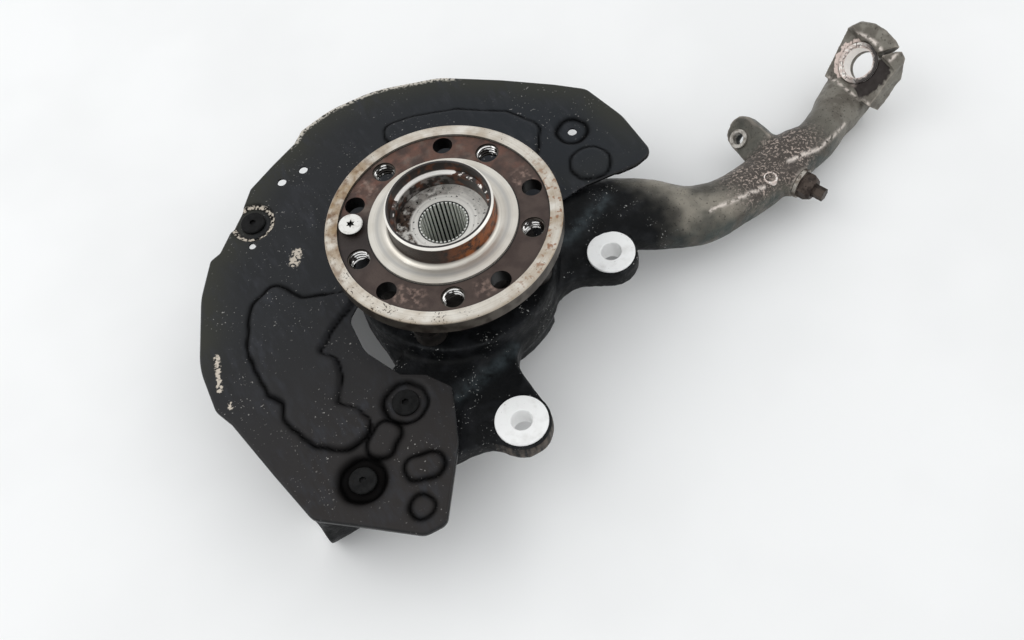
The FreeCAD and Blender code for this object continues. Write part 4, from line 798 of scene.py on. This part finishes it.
def shield_presses(points, sizes):
    """Rise of the shield at points and how near each lies to the foot of a press."""
    half = sizes.slope / MM / 2
    east, north = points.T
    rise = np.zeros(len(points))
    crease_dirt_and_shade = np.zeros(len(points))
    areas = [(depth_inside(points, outline(edge, 2.0)), sizes.press_rise / MM)
             for edge in (PLATEAU_EDGE, BAND_EDGE)]
    for x, y, radius, height in ROUND_PRESSES:
        areas.append((radius - np.hypot(east - x, north - y), height))
    for x, y, end_x, end_y, radius, height in LONG_PRESSES:
        away = line_distance(points, ((x, y), (end_x, end_y)))
        areas.append((radius - away, height))
    # The edge of the dirt and painted shade wanders, and lies wide on the rear half but for the
    # folds by the hub
    wobble = 0.5 * np.sin(east * 0.43 + north * 0.21) + 0.4 * np.sin(north * 0.61 - east * 0.17)
    sheltered = np.clip((east + 116.0) / 8.0, 0.0, 1.0) * (np.abs(north + 22.0) < 48.0)
    broad = np.where(east < 0.0, 2.0 - 1.15 * sheltered, 1.15)
    for depth, height in areas:
        rise += height * eased((depth + half) / (2 * half))
        foot = depth + half if height > 0 else depth - half
        width = broad if height > 0 else 1.9
        crease_dirt_and_shade = np.maximum(crease_dirt_and_shade, np.exp(-((foot + wobble * 0.5) / width) ** 2))
    return rise, crease_dirt_and_shade


def shield_mesh(sizes):
    """Fine mesh of the pressed sheet: presses, holes, rolled edge and turned-down lip. Its points
    also hold where dirt and painted shade at the press feet, the black rear dish, scuffs, paint
    beads and the rubbed edge lie."""
    step = sizes.mesh_step / MM
    level = sizes.level / MM
    sheet = sizes.sheet / MM
    roll = sizes.edge_roll / MM
    rim_width = roll + 0.4
    bore = sizes.bore_radius / MM
    openings = (*SHIELD_HOLES, (0.0, 0.0, bore))
    lip_from = 122.0
    edge = outline(SHIELD_EDGE, step)
    turns = (0.0, math.pi / 6, math.pi / 3, math.pi / 2)
    rings = [inset(edge, roll * (1 - math.cos(turn))) for turn in turns]
    rings.append(inset(edge, rim_width))
    holes = [ring_points(x, y, radius, 0.9) for x, y, radius in SHIELD_HOLES]
    holes.append(ring_points(0.0, 0.0, bore, step))
    low = edge.min(0)
    high = edge.max(0)
    row_step = step * math.sqrt(3) / 2
    rows = np.arange(low[1], high[1], row_step)
    grid = np.array([(x + (row % 2) * step / 2, y) for row, y in enumerate(rows)
                     for x in np.arange(low[0], high[0], step)])
    keep = depth_inside(grid, edge) > rim_width + step * 0.6
    for x, y, radius in openings:
        keep &= np.hypot(grid[:, 0] - x, grid[:, 1] - y) > radius + step * 0.5
    loops = rings + holes
    points = []
    links = []
    for loop in loops:
        first = len(points)
        points += [tuple(point) for point in loop]
        links += [(first + here, first + (here + 1) % len(loop)) for here in range(len(loop))]
    points += [tuple(point) for point in grid[keep]]
    flat, _, faces, _, _, _ = delaunay_2d_cdt([Vector(point) for point in points], links, [], 0,
                                              1e-4, False)
    flat = np.array([tuple(point) for point in flat])
    faces = np.array(faces)
    middle = flat[faces].mean(1)
    inside = depth_inside(middle, edge) > 0
    for x, y, radius in openings:
        inside &= np.hypot(middle[:, 0] - x, middle[:, 1] - y) > radius * 0.998
    faces = faces[inside]
    used = np.unique(faces)
    order = np.full(len(flat), -1)
    order[used] = np.arange(len(used))
    flat = flat[used]
    faces = order[faces]

    depth = depth_inside(flat, edge)
    from_axis = np.hypot(flat[:, 0], flat[:, 1])
    rolled = eased((from_axis - lip_from) / 5.0)
    share = np.clip(1 - np.maximum(depth, 0.0) / roll, 0.0, 1.0)
    drop = roll * (1 - np.sqrt(np.maximum(1 - share * share, 0.0))) * rolled
    rise, crease_dirt_and_shade = shield_presses(flat, sizes)
    dents = 0.25 * np.sin(flat[:, 0] * 0.061 + 1.3) * np.sin(flat[:, 1] * 0.047 + 0.4)
    dents += 0.12 * np.sin(flat[:, 0] * 0.13 - flat[:, 1] * 0.11)
    top = level + rise + (dents - 0.2) * eased((depth - 4.0) / 12.0) - drop
    lip = np.where(depth < roll + 0.2, rolled, 0.0)
    under = np.minimum((top - sheet) * (1 - lip) + (level - sizes.lip / MM) * lip, top - 0.5)
    count = len(flat)
    solid = bmesh.new()
    upper = [solid.verts.new((x * MM, y * MM, z * MM)) for (x, y), z in zip(flat, top)]
    lower = [solid.verts.new((x * MM, y * MM, z * MM)) for (x, y), z in zip(flat, under)]
    for a, b, c in faces:
        solid.faces.new((upper[a], upper[b], upper[c]))
        solid.faces.new((lower[c], lower[b], lower[a]))
    solid.verts.index_update()
    rims = [edge for edge in solid.edges if edge.is_boundary and edge.verts[0].index < count]
    for rim in rims:
        first, last = rim.link_loops[0].vert, rim.link_loops[0].link_loop_next.vert
        solid.faces.new((last, first, lower[first.index], lower[last.index]))
    mesh = to_mesh("splash_shield_sheet", solid)
    scuff = np.zeros(count)
    for x, y, end_x, end_y, radius, strength in SHIELD_SCUFFS:
        away = line_distance(flat, ((x, y), (end_x, end_y)))
        scuff = np.maximum(scuff, strength * np.exp(-(away / radius) ** 2))
    around = np.degrees(np.arctan2(flat[:, 1], flat[:, 0]))
    upper_edge = eased((around - 56.0) / 8.0) * eased((112.0 - around) / 8.0)
    inward = np.maximum(depth, 0.0)
    outer = np.clip(from_axis - 90.0, 0.0, 1.0)
    x, y, radius = RINGED_DISH
    ring = np.exp(-((np.hypot(flat[:, 0] - x, flat[:, 1] - y) - radius) / 1.6) ** 2)
    scuff = np.maximum(scuff, 0.75 * ring)
    x, y, radius = BLACK_REAR_DISH
    black_dish = np.exp(-(np.hypot(flat[:, 0] - x, flat[:, 1] - y) / radius) ** 6)
    values = {
        "crease_dirt_and_shade": crease_dirt_and_shade,
        "edge": np.minimum(1.4 * np.exp(-(inward / 3.6) ** 2), 1.0) * outer * upper_edge,
        "film": np.exp(-(inward / 15.0) ** 2) * outer * np.clip(flat[:, 1] / 40.0, 0.0, 1.0),
        "bead": np.exp(-(inward / 1.1) ** 2) * outer,
        "scuff": scuff,
        "black_dish": black_dish,
    }
    give_values(mesh, {name: np.tile(each, 2) for name, each in values.items()})
    return mesh


def turned_mesh(name, profile, place, segments=96):
    """Closed ring turned from a profile of radius and height in millimetres, set in place."""
    solid = bmesh.new()
    rows = []
    for part in range(segments):
        turn = Matrix.Rotation(math.tau * part / segments, 4, "Z")
        rows.append([solid.verts.new(place @ turn @ Vector((radius * MM, 0.0, height * MM)))
                     for radius, height in profile])
    for part in range(segments):
        here, there = rows[part], rows[(part + 1) % segments]
        for corner in range(len(profile)):
            following = (corner + 1) % len(profile)
            solid.faces.new((here[corner], there[corner], there[following], here[following]))
    bmesh.ops.recalc_face_normals(solid, faces=solid.faces)
    return to_mesh(name, solid)


def joined(name, meshes):
    """One mesh from several."""
    solid = bmesh.new()
    for mesh in meshes:
        solid.from_mesh(mesh)
        bpy.data.meshes.remove(mesh)
    return to_mesh(name, solid)


def along(axis, x, y, z):
    """Place whose Z looks along an axis, at a point in millimetres."""
    turn = Vector((0.0, 0.0, 1.0)).rotation_difference(Vector(axis)).to_matrix().to_4x4()
    return Matrix.Translation((x * MM, y * MM, z * MM)) @ turn


UP = (0.0, 0.0, 1.0)
EYE_AXIS = (-math.sin(math.radians(41.5)), 0.0, math.cos(math.radians(41.5)))
TOP_EYE = along(EYE_AXIS, 325.0, -1.0, -75.0)
CABLE_LUG = along(EYE_AXIS, 224.0, 1.0, -88.0)
UPPER_EAR = along(UP, 90.0, -43.4, -60.0)
LOWER_EAR = along(UP, -20.0, -114.3, -60.0)
REAR_EYE = along((-1.0, 0.0, 0.0), -141.0, -84.0, -96.5)
FRONT_EYE = along((-1.0, 0.0, 0.0), -92.0, 78.0, -96.5)
NECK_BOSS = along(UP, 214.3, -47.3, -73.4)
# Cast boss on the neck, with a raised rim that rubs bright: radius and height in mm
NECK_BOSS_PROFILE = (
    (0.05, -0.5), (3.4, -0.5), (3.8, 0.0), (4.4, 0.0), (4.7, -0.4), (4.7, -8.0), (0.05, -8.0),
)
# Machined rings let into the casting: name, place, bore, outside, upper face and lower face in mm
MACHINED_RINGS = (
    ("upper_ear_face", UPPER_EAR, 6.6, 15.6, 0.0, -16.4),
    ("lower_ear_face", LOWER_EAR, 6.6, 16.5, 0.0, -16.4),
    ("upper_eye_face", TOP_EYE, 10.8, 14.6, 0.3, -11.0),
    ("rear_eye_face", REAR_EYE, 9.0, 16.0, 14.3, -14.3),
    ("front_eye_face", FRONT_EYE, 9.0, 16.0, 14.3, -14.3),
    ("cable_lug_face", CABLE_LUG, 4.1, 6.8, 0.8, -4.0),
)
# Radius that stands for the axis in a turned profile, and reach of a cut past the casting, in mm
NEAR_AXIS = 0.05
CUT_PAST = 30.0
# Bearing seat and bolt pockets of the housing: radii, distance from the wheel axis and levels
# in mm
HOUSING_BORE = 45.0
SPOT_FACE = 13.6
BOLT_DISTANCE = 53.5
BOLT_SEAT = -74.0
BELOW_HOUSING = -120.0
ABOVE_HOUSING = -30.0
# Wheel bolt holes of the hub: how many, radius of their circle in mm, angle of the first
WHEEL_BOLTS = 5
WHEEL_BOLT_CIRCLE = 56.0
FIRST_WHEEL_BOLT = 31.33


def machined_ring(name, place, bore, outside, upper, lower):
    """Ring with a broken edge at the bore, thick at its faces and thin inside the casting."""
    sleeve = bore + 2.2
    profile = (
        (bore + 0.5, upper), (outside - 0.3, upper), (outside, upper - 0.3),
        (outside, upper - 1.6), (sleeve, upper - 1.8), (sleeve, lower + 1.8),
        (outside, lower + 1.6), (outside, lower + 0.3), (outside - 0.3, lower),
        (bore + 0.5, lower), (bore, lower + 0.5), (bore, upper - 0.5),
    )
    if name in ("cable_lug_face", "upper_eye_face"):
        profile = profile[:5] + ((sleeve, lower), (bore, lower), (bore, upper - 0.5))
    return turned_mesh(name, profile, place)


def stepped(low, *steps):
    """Profile of a round cutting tool from its low end up: the radius and top of each step."""
    profile = [(NEAR_AXIS, low)]
    for radius, top in steps:
        profile += [(radius, profile[-1][1]), (radius, top)]
    return (*profile, (NEAR_AXIS, steps[-1][1]))


def cutters():
    """Room for the machined rings, the bearing and its bolts in the cast body."""
    meshes = []
    for name, place, bore, outside, upper, lower in MACHINED_RINGS:
        sleeve = (bore + 1.2, upper - 1.3)
        seat = (outside + 0.6, upper + CUT_PAST)
        if name == "cable_lug_face":
            profile = stepped(-CUT_PAST, (bore + 0.9, sleeve[1]), (outside + 4.0, upper + 6.0))
        elif name in ("rear_eye_face", "front_eye_face"):
            profile = stepped(-CUT_PAST, (sleeve[0], CUT_PAST))
        elif name == "upper_eye_face":
            profile = stepped(-CUT_PAST, (bore, lower), sleeve, seat)
        else:
            profile = stepped(lower - CUT_PAST, sleeve, seat)
        meshes.append(turned_mesh("cut_" + name, profile, place, 64))
    housing = stepped(BELOW_HOUSING, (HOUSING_BORE, ABOVE_HOUSING))
    meshes.append(turned_mesh("cut_bearing", housing, Matrix.Identity(4), 96))
    pocket = stepped(BELOW_HOUSING, (SPOT_FACE, BOLT_SEAT))
    for turn in range(4):
        angle = math.radians(45.0 + 90.0 * turn)
        place = along(UP, BOLT_DISTANCE * math.cos(angle), BOLT_DISTANCE * math.sin(angle), 0.0)
        meshes.append(turned_mesh("cut_spot_face", pocket, place, 48))
    return joined("cutters", meshes)


def evaluated(piece):
    """Mesh of an object with its modifiers applied, and the object cleared away."""
    graph = bpy.context.evaluated_depsgraph_get()
    mesh = bpy.data.meshes.new_from_object(piece.evaluated_get(graph))
    old = piece.data
    bpy.data.objects.remove(piece)
    bpy.data.meshes.remove(old)
    return mesh


def soften(solid, verts, rounds):
    """Round the corners at some points, a little more each round."""
    for _ in range(rounds):
        bmesh.ops.smooth_vert(solid, verts=verts, factor=0.5, use_axis_x=True, use_axis_y=True,
                              use_axis_z=True)


def keep_side(solid, place, near_side):
    """Keep what lies on one side of a plane across X, and give what the plane cut."""
    parts = solid.verts[:] + solid.edges[:] + solid.faces[:]
    made = bmesh.ops.bisect_plane(
        solid, geom=parts, plane_co=(place, 0.0, 0.0), plane_no=(1.0, 0.0, 0.0),
        clear_outer=near_side, clear_inner=not near_side)
    return made["geom_cut"]


def skin(solid_mesh, step, sizes, near_end):
    """Cast skin over the hub's side or the far end of the solid, with its corners rounded: fully
    by the hub, less where the neck's forms are sharp, and least at the upper eye."""
    body = bpy.data.objects.new("cast_body_rough", solid_mesh)
    bpy.context.scene.collection.objects.link(body)
    grid = body.modifiers.new("skin", "REMESH")
    grid.mode = "VOXEL"
    grid.voxel_size = step
    mesh = evaluated(body)
    solid = bmesh.new()
    solid.from_mesh(mesh)
    if near_end:
        sharp = [vert for vert in solid.verts if vert.co.x > sizes.sharp_from]
        blunt = [vert for vert in solid.verts if vert.co.x <= sizes.sharp_from]
        soften(solid, blunt, sizes.soften_rounds)
        soften(solid, sharp, sizes.sharp_rounds)
    else:
        soften(solid, solid.verts[:], sizes.sharp_rounds)
    keep_side(solid, sizes.eye_from + (MM if near_end else 0.0), near_end)
    solid.to_mesh(mesh)
    solid.free()
    return mesh


def cut_away(mesh, place, near_side):
    """Part of a closed mesh on one side of a plane across X, closed again."""
    solid = bmesh.new()
    solid.from_mesh(mesh)
    cut = keep_side(solid, place, near_side)
    edges = [part for part in cut if isinstance(part, bmesh.types.BMEdge)]
    bmesh.ops.holes_fill(solid, edges=edges)
    return to_mesh("cast_part", solid)


def at_points(mesh, name):
    """Places or normals at the points of a mesh, one row each."""
    values = np.zeros(len(mesh.vertices) * 3)
    mesh.vertices.foreach_get(name, values)
    return values.reshape(-1, 3)


def cast_mesh(sizes):
    """Knuckle with the soft corners and uneven skin of a sand casting."""
    source = bmesh.new()
    source.from_mesh(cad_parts["knuckle"].data)
    solid_spots = np.array([vert.co[:] for vert in source.verts])
    bmesh.ops.remove_doubles(source, verts=source.verts, dist=2e-6)
    body = bpy.data.objects.new("cast_body_rough", to_mesh("cast_body", source))
    tool = bpy.data.objects.new("cast_cutters", cutters())
    for made in (body, tool):
        bpy.context.scene.collection.objects.link(made)
    cut = body.modifiers.new("cut", "BOOLEAN")
    cut.object = tool
    cut.solver = "EXACT"
    cut.use_self = True
    whole = evaluated(body)
    overlap = 6 * MM
    near_end = skin(cut_away(whole, sizes.eye_from + overlap, True), sizes.skin_step, sizes, True)
    far_end = skin(cut_away(whole, sizes.eye_from - overlap, False), sizes.eye_step, sizes, False)
    mesh = joined("knuckle_skin", (near_end, far_end))
    tool_mesh = tool.data
    bpy.data.objects.remove(tool)
    bpy.data.meshes.remove(tool_mesh)
    spots = at_points(mesh, "co")
    mm = spots / MM
    swell = np.sin(mm[:, 0] * 0.31 + 1.0) * np.sin(mm[:, 1] * 0.27 + mm[:, 2] * 0.2)
    swell += 0.6 * np.sin(mm[:, 0] * 0.73 - mm[:, 1] * 0.61) * np.sin(mm[:, 2] * 0.7 + 0.5)
    spots += at_points(mesh, "normal") * (swell * sizes.unevenness)[:, None]
    spots = np.clip(spots, solid_spots.min(0), solid_spots.max(0))
    mesh.vertices.foreach_set("co", spots.ravel())
    mesh.update()
    give_values(mesh, {"worn": near_lines(mm, WORN_RIDGES, 1.3),
                       "sheen": near_lines(mm, PALE_SWELLS, 4.5)})
    return mesh


def thread_mesh(sizes):
    """Thread crests in the wheel bolt holes, one coil in each, drawn coarser than the real
    1.5 mm pitch so that the crests show in a picture of the whole object."""
    pitch = sizes.thread_pitch / MM
    steps_round = 40
    crest = ((6.55, 0.30), (5.95, 0.08), (5.95, -0.08), (6.55, -0.30))
    top = -2.9
    length = 9.0
    meshes = []
    for index in range(WHEEL_BOLTS):
        angle = math.radians(FIRST_WHEEL_BOLT + 360.0 / WHEEL_BOLTS * index)
        x = WHEEL_BOLT_CIRCLE * math.cos(angle)
        y = WHEEL_BOLT_CIRCLE * math.sin(angle)
        solid = bmesh.new()
        rows = []
        for part in range(int(length / pitch * steps_round) + 1):
            turn = math.tau * part / steps_round
            height = top - pitch * part / steps_round
            rows.append([solid.verts.new(((x + radius * math.cos(turn)) * MM,
                                          (y + radius * math.sin(turn)) * MM,
                                          (height + rise * pitch) * MM))
                         for radius, rise in crest])
        for here, there in zip(rows, rows[1:]):
            for corner in range(4):
                following = (corner + 1) % 4
                solid.faces.new((here[corner], here[following], there[following], there[corner]))
        for end in (rows[0], rows[-1][::-1]):
            solid.faces.new(end)
        bmesh.ops.recalc_face_normals(solid, faces=solid.faces)
        meshes.append(to_mesh("thread_%d" % index, solid))
    return joined("wheel_threads", meshes)


def distance(name, value, text, low=0.0):
    """Length setting in metres."""
    return bpy.props.FloatProperty(name=name, description=text, default=value, min=low,
                                   subtype="DISTANCE", unit="LENGTH", precision=5)


def height_setting(name, value, text):
    """Height setting in metres, which may lie below the wheel's seat."""
    return bpy.props.FloatProperty(name=name, description=text, default=value,
                                   subtype="DISTANCE", unit="LENGTH")


def angle_setting(name, degrees, text):
    """Angle setting."""
    return bpy.props.FloatProperty(name=name, description=text, default=math.radians(degrees),
                                   subtype="ANGLE", unit="ROTATION")


def number_setting(name, value, high, text, low=0.0):
    """Plain number setting."""
    return bpy.props.FloatProperty(name=name, description=text, default=value, min=low, max=high)


def count_setting(name, count, text):
    """Setting for how often something is repeated."""
    return bpy.props.IntProperty(name=name, description=text, default=count, min=0, max=30)


def tint(name, code, text):
    """Colour setting from an sRGB hex colour."""
    return bpy.props.FloatVectorProperty(name=name, description=text, default=linear(code),
                                         size=3, min=0.0, max=1.0, subtype="COLOR")


class HubColours(bpy.types.PropertyGroup):
    """Colours of the finishes."""

    bright_steel: tint("Bright steel", "#E2DDD3", "Turned lands of the hub")
    worn_steel: tint("Worn steel", "#A39D93", "Darker turning rings of the lands")
    tan_rust: tint("Tan rust", "#9A8468", "Thin rust on the rim land")
    dark_rust: tint("Dark rust", "#43352E", "Rust on the recessed face")
    red_rust: tint("Red rust", "#583C30", "Fresher rust at the top of the recessed face")
    orange_rust: tint("Orange rust", "#8A4A1C", "Rust on the side of the spigot")
    bare_casting: tint("Bare casting", "#5B5850", "Neck of the knuckle")
    # Colour of the painted sheen on top of the neck, not of dried dirt
    painted_beige_sheen: tint("Beige film", "#908A7E", "Dried dirt on top of the neck")
    oily_dirt: tint("Oily dirt", "#0D0E0F", "Knuckle near the hub")
    peeled_oxide: tint("Peeled oxide", "#D3C4BB", "Face of the upper eye")
    milled_aluminium: tint("Milled aluminium", "#F4F4F2", "Caliper pads and eyes")
    shield_paint: tint("Shield paint", "#242527", "Dip paint of the shield")
    shield_blue: tint("Shield top", "#202327", "Bluer, cleaner paint at the shield's upper end")
    shield_brown: tint("Shield dirt", "#292625", "Brownish film at the shield's lower end")
    seal_rubber: tint("Seal rubber", "#1B1A19", "Bearing seals")
    cage_polyamide: tint("Cage polyamide", "#C2AC7C", "Ball cages")
    floor: tint("Floor", "#F1F1F0", "Studio floor")


class ShieldSizes(bpy.types.PropertyGroup):
    """Sizes of the splash shield's sheet."""

    level: height_setting("Level", -0.050, "Upper face of the sheet")
    sheet: distance("Sheet", 0.0015, "Thickness of the sheet")
    lip: distance("Lip", 0.003, "Height of the turned-down lip")
    edge_roll: distance("Edge roll", 0.0016, "Radius of the rolled outer edge")
    bore_radius: distance("Bore radius", 0.068, "Radius of the opening round the bearing")
    press_rise: distance("Press rise", 0.0025, "Height of the pressed areas")
    slope: distance("Slope", 0.0032, "Width of the slope of a press")
    mesh_step: distance("Mesh step", 0.0017, "Spacing of the sheet's mesh points", 0.001)


class CastingSizes(bpy.types.PropertyGroup):
    """Sizes of the cast skin."""

    skin_step: distance("Skin step", 0.00155, "Spacing of the cast skin's mesh points", 0.0013)
    eye_step: distance("Eye's skin step", 0.0008, "Spacing of the points on the upper eye", 0.0006)
    eye_from: distance("Eye from", 0.296, "Where the upper eye's finer skin begins")
    soften_rounds: count_setting("Softening", 6, "Rounds of smoothing that round the corners")
    sharp_from: distance("Sharp from", 0.196, "Where the sharper forms of the neck begin")
    sharp_rounds: count_setting("Sharp end's softening", 2,
                                "Rounds of smoothing at the neck's far end")
    unevenness: distance("Unevenness", 0.00012, "How far the cast skin swells and sinks")
    thread_pitch: distance("Thread pitch", 0.0024, "Drawn pitch of the wheel bolt threads", 0.001)


class StageSizes(bpy.types.PropertyGroup):
    """Camera and light of the studio."""

    azimuth: angle_setting("Azimuth", -19.029, "Camera angle round the object")
    elevation: angle_setting("Elevation", 58.77, "Camera angle above the floor")
    roll: angle_setting("Roll", -13.431, "Turn of the camera about its own axis")
    reach: distance("Camera distance", 0.66024, "From the camera to its target")
    target: bpy.props.FloatVectorProperty(name="Target", default=(-0.00126, -0.085533, 0.0),
                                          description="Point in the middle of the frame",
                                          subtype="TRANSLATION", unit="LENGTH")
    lens: number_setting("Lens", 40.716, 200.0, "Focal length for a 36 mm sensor", 10.0)
    floor_level: height_setting("Floor level", -0.115, "Height that the knuckle stands on")
    sky: number_setting("Sky light", 0.94, 2.0, "Strength of the light from all round")
    key: number_setting("Key light", 6.8, 100.0, "Power of the large lamp at the upper left")
    fill: number_setting("Fill light", 2.2, 100.0, "Power of the lamp at the right")


class HUB_OT_wheel_hub(bpy.types.Operator):
    """Finish the hub and cut the threads of its wheel bolt holes"""

    bl_idname = "wheelhub.wheel_hub"
    bl_label = "Wheel hub"

    def execute(self, context):
        dress("wheel_hub", turned_hub_steel(context.scene.hub_colours))
        crest = thread_steel()
        mesh_piece("wheel_threads", thread_mesh(context.scene.hub_casting), crest,
                   "hub")
        dress("disc_screw", plated_screw_steel())
        return {"FINISHED"}


class HUB_OT_bearing(bpy.types.Operator):
    """Finish the bearing rings, seals and the bolts that hold the bearing"""

    bl_idname = "wheelhub.bearing"
    bl_label = "Bearing unit"

    def execute(self, context):
        look = context.scene.hub_colours
        ring = plain_steel("Forged bearing ring steel", "#2E2A27", "#1A1715", 7.0, 0.5, 0.45)
        ground = plain_steel("Ground bearing steel", "#B9B6B0", "#7D766C", 9.0, 1.0, 0.2)
        bolt = plain_steel("Phosphated bolt steel", "#1A1817", "#0F0D0C", 4.0, 0.2, 0.5, 0.15)
        rubber = moulded_rubber(look)
        dress("bearing_outer_ring", ring)
        dress("bearing_inner_ring", ground)
        polyamide = moulded_polyamide(look)
        balls = plain_steel("Ground and lapped ball steel", "#D6D5D2", "#B4B1AB", 9.0, 1.0, 0.1)
        for row in ("outboard", "inboard"):
            dress(row + "_seal", rubber)
            dress(row + "_balls", balls)
            dress(row + "_cage", polyamide)
        for index in range(4):
            dress("bearing_bolt_%d" % (index + 1), bolt)
        return {"FINISHED"}


class HUB_OT_knuckle(bpy.types.Operator):
    """Build the cast body of the knuckle and its machined faces"""

    bl_idname = "wheelhub.knuckle"
    bl_label = "Steering knuckle"

    def execute(self, context):
        look = context.scene.hub_colours
        body = mesh_piece("knuckle_casting", cast_mesh(context.scene.hub_casting),
                          cast_aluminium(look), "knuckle", 80.0)
        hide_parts("knuckle")
        milled = milled_aluminium(look)
        peeled = peeled_aluminium(look)
        rubbed = plain_steel("Rubbed aluminium", "#B9B4AC", "#7D776E", 4.0, 0.3, 0.45)
        finishes = {"upper_eye_face": peeled, "cable_lug_face": rubbed}
        for ring in MACHINED_RINGS:
            finish = finishes.get(ring[0], milled)
            mesh_piece("knuckle_" + ring[0], machined_ring(*ring), finish,
                       "knuckle")
        boss = turned_mesh("neck_boss", NECK_BOSS_PROFILE, NECK_BOSS, 48)
        mesh_piece("knuckle_neck_boss", boss, peeled, "knuckle")
        return {"FINISHED"}


class HUB_OT_shield(bpy.types.Operator):
    """Build the pressed splash shield"""

    bl_idname = "wheelhub.shield"
    bl_label = "Splash shield"

    def execute(self, context):
        sheet = mesh_piece("splash_shield_sheet", shield_mesh(context.scene.hub_shield),
                           painted_sheet(context.scene.hub_colours), "knuckle",
                           60.0)
        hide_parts("splash_shield")
        return {"FINISHED"}


class HUB_OT_fasteners(bpy.types.Operator):
    """Finish the shield's screws and the cross stud with its washer and nut"""

    bl_idname = "wheelhub.fasteners"
    bl_label = "Screws and stud"

    def execute(self, context):
        screw = plain_steel("Oily screw steel", "#161616", "#0B0B0B", 5.0, 0.1, 0.45, 0.12)
        nut = plain_steel("Brown oxidised nut steel", "#4A4039", "#2A211C", 4.0, 0.6, 0.5)
        washer = plain_steel("Rubbed washer steel", "#B4AEA5", "#6A625A", 5.0, 0.9, 0.35)
        for index in range(3):
            dress("shield_screw_%d" % (index + 1), screw)
        dress("cross_stud", nut)
        dress("cross_nut", nut)
        dress("cross_washer", washer)
        return {"FINISHED"}


def area_lamp(name, power, size, place, target):
    """Large soft lamp that looks at a point."""
    data = bpy.data.lights.new(name, "AREA")
    data.energy = power
    data.shape = "SQUARE"
    data.size = size
    lamp = bpy.data.objects.new(name, data)
    lamp.location = place
    lamp.rotation_mode = "QUATERNION"
    lamp.rotation_quaternion = (Vector(target) - Vector(place)).to_track_quat("-Z", "Y")
    bpy.context.scene.collection.objects.link(lamp)


class HUB_OT_studio(bpy.types.Operator):
    """Set the floor, the soft light and the camera"""

    bl_idname = "wheelhub.studio"
    bl_label = "Studio"

    def execute(self, context):
        stage = context.scene.hub_stage
        mesh = bpy.data.meshes.new("floor")
        reach = 6.0
        level = stage.floor_level - 0.0002
        mesh.from_pydata([(-reach, -reach, level), (reach, -reach, level), (reach, reach, level),
                          (-reach, reach, level)], [], [(0, 1, 2, 3)])
        mesh.materials.append(pale_floor(context.scene.hub_colours))
        floor = bpy.data.objects.new("floor", mesh)
        context.scene.collection.objects.link(floor)

        world = bpy.data.worlds.new("soft_sky")
        world.use_nodes = True
        background = world.node_tree.nodes["Background"]
        background.inputs[0].default_value = (*linear("#F6F8FA"), 1.0)
        path = world.node_tree.nodes.new("ShaderNodeLightPath")
        seen = world.node_tree.nodes.new("ShaderNodeMix")
        seen.data_type = "FLOAT"
        seen.inputs[2].default_value = stage.sky
        seen.inputs[3].default_value = 0.93
        world.node_tree.links.new(path.outputs["Is Camera Ray"], seen.inputs[0])
        world.node_tree.links.new(seen.outputs[0], background.inputs[1])
        context.scene.world = world

        area_lamp("key_lamp", stage.key, 1.3, (-0.9, 0.6, 1.25), (0.0, 0.0, -0.06))
        area_lamp("fill_lamp", stage.fill, 1.0, (1.1, -0.5, 0.9), (0.1, 0.0, -0.06))

        data = bpy.data.cameras.new("photograph_camera")
        data.sensor_width = 36.0
        data.lens = stage.lens
        data.clip_start = 0.01
        camera = bpy.data.objects.new("photograph_camera", data)
        back = Vector((math.sin(stage.azimuth) * math.cos(stage.elevation),
                       -math.cos(stage.azimuth) * math.cos(stage.elevation),
                       math.sin(stage.elevation)))
        camera.location = Vector(stage.target) + back * stage.reach
        camera.rotation_mode = "QUATERNION"
        camera.rotation_quaternion = (-back).to_track_quat("-Z", "Y") @ Quaternion(UP, stage.roll)
        context.scene.collection.objects.link(camera)
        context.scene.camera = camera
        context.scene.view_settings.view_transform = "Standard"
        return {"FINISHED"}


STEPS = (
    HUB_OT_wheel_hub,
    HUB_OT_bearing,
    HUB_OT_knuckle,
    HUB_OT_shield,
    HUB_OT_fasteners,
    HUB_OT_studio,
)


class HUB_PT_panel(bpy.types.Panel):
    """Steps and sizes of the wheel hub"""

    bl_label = "Wheel hub"
    bl_idname = "HUB_PT_panel"
    bl_space_type = "VIEW_3D"
    bl_region_type = "UI"
    bl_category = "Wheel hub"

    def draw(self, context):
        for group in (context.scene.hub_colours, context.scene.hub_shield,
                      context.scene.hub_casting, context.scene.hub_stage):
            box = self.layout.box()
            for name in group.__annotations__:
                box.prop(group, name)
        for step in STEPS:
            self.layout.operator(step.bl_idname)


GROUPS = {
    "hub_colours": HubColours,
    "hub_shield": ShieldSizes,
    "hub_casting": CastingSizes,
    "hub_stage": StageSizes,
}


def register():
    for name, group in GROUPS.items():
        bpy.utils.register_class(group)
        setattr(bpy.types.Scene, name, bpy.props.PointerProperty(type=group))
    for made in (*STEPS, HUB_PT_panel):
        bpy.utils.register_class(made)


def unregister():
    for made in (HUB_PT_panel, *reversed(STEPS)):
        bpy.utils.unregister_class(made)
    for name, group in GROUPS.items():
        delattr(bpy.types.Scene, name)
        bpy.utils.unregister_class(group)


def main():
    register()
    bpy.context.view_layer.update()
    for step in STEPS:
        group, name = step.bl_idname.split(".")
        getattr(getattr(bpy.ops, group), name)()


if __name__ == "__main__":
    main()
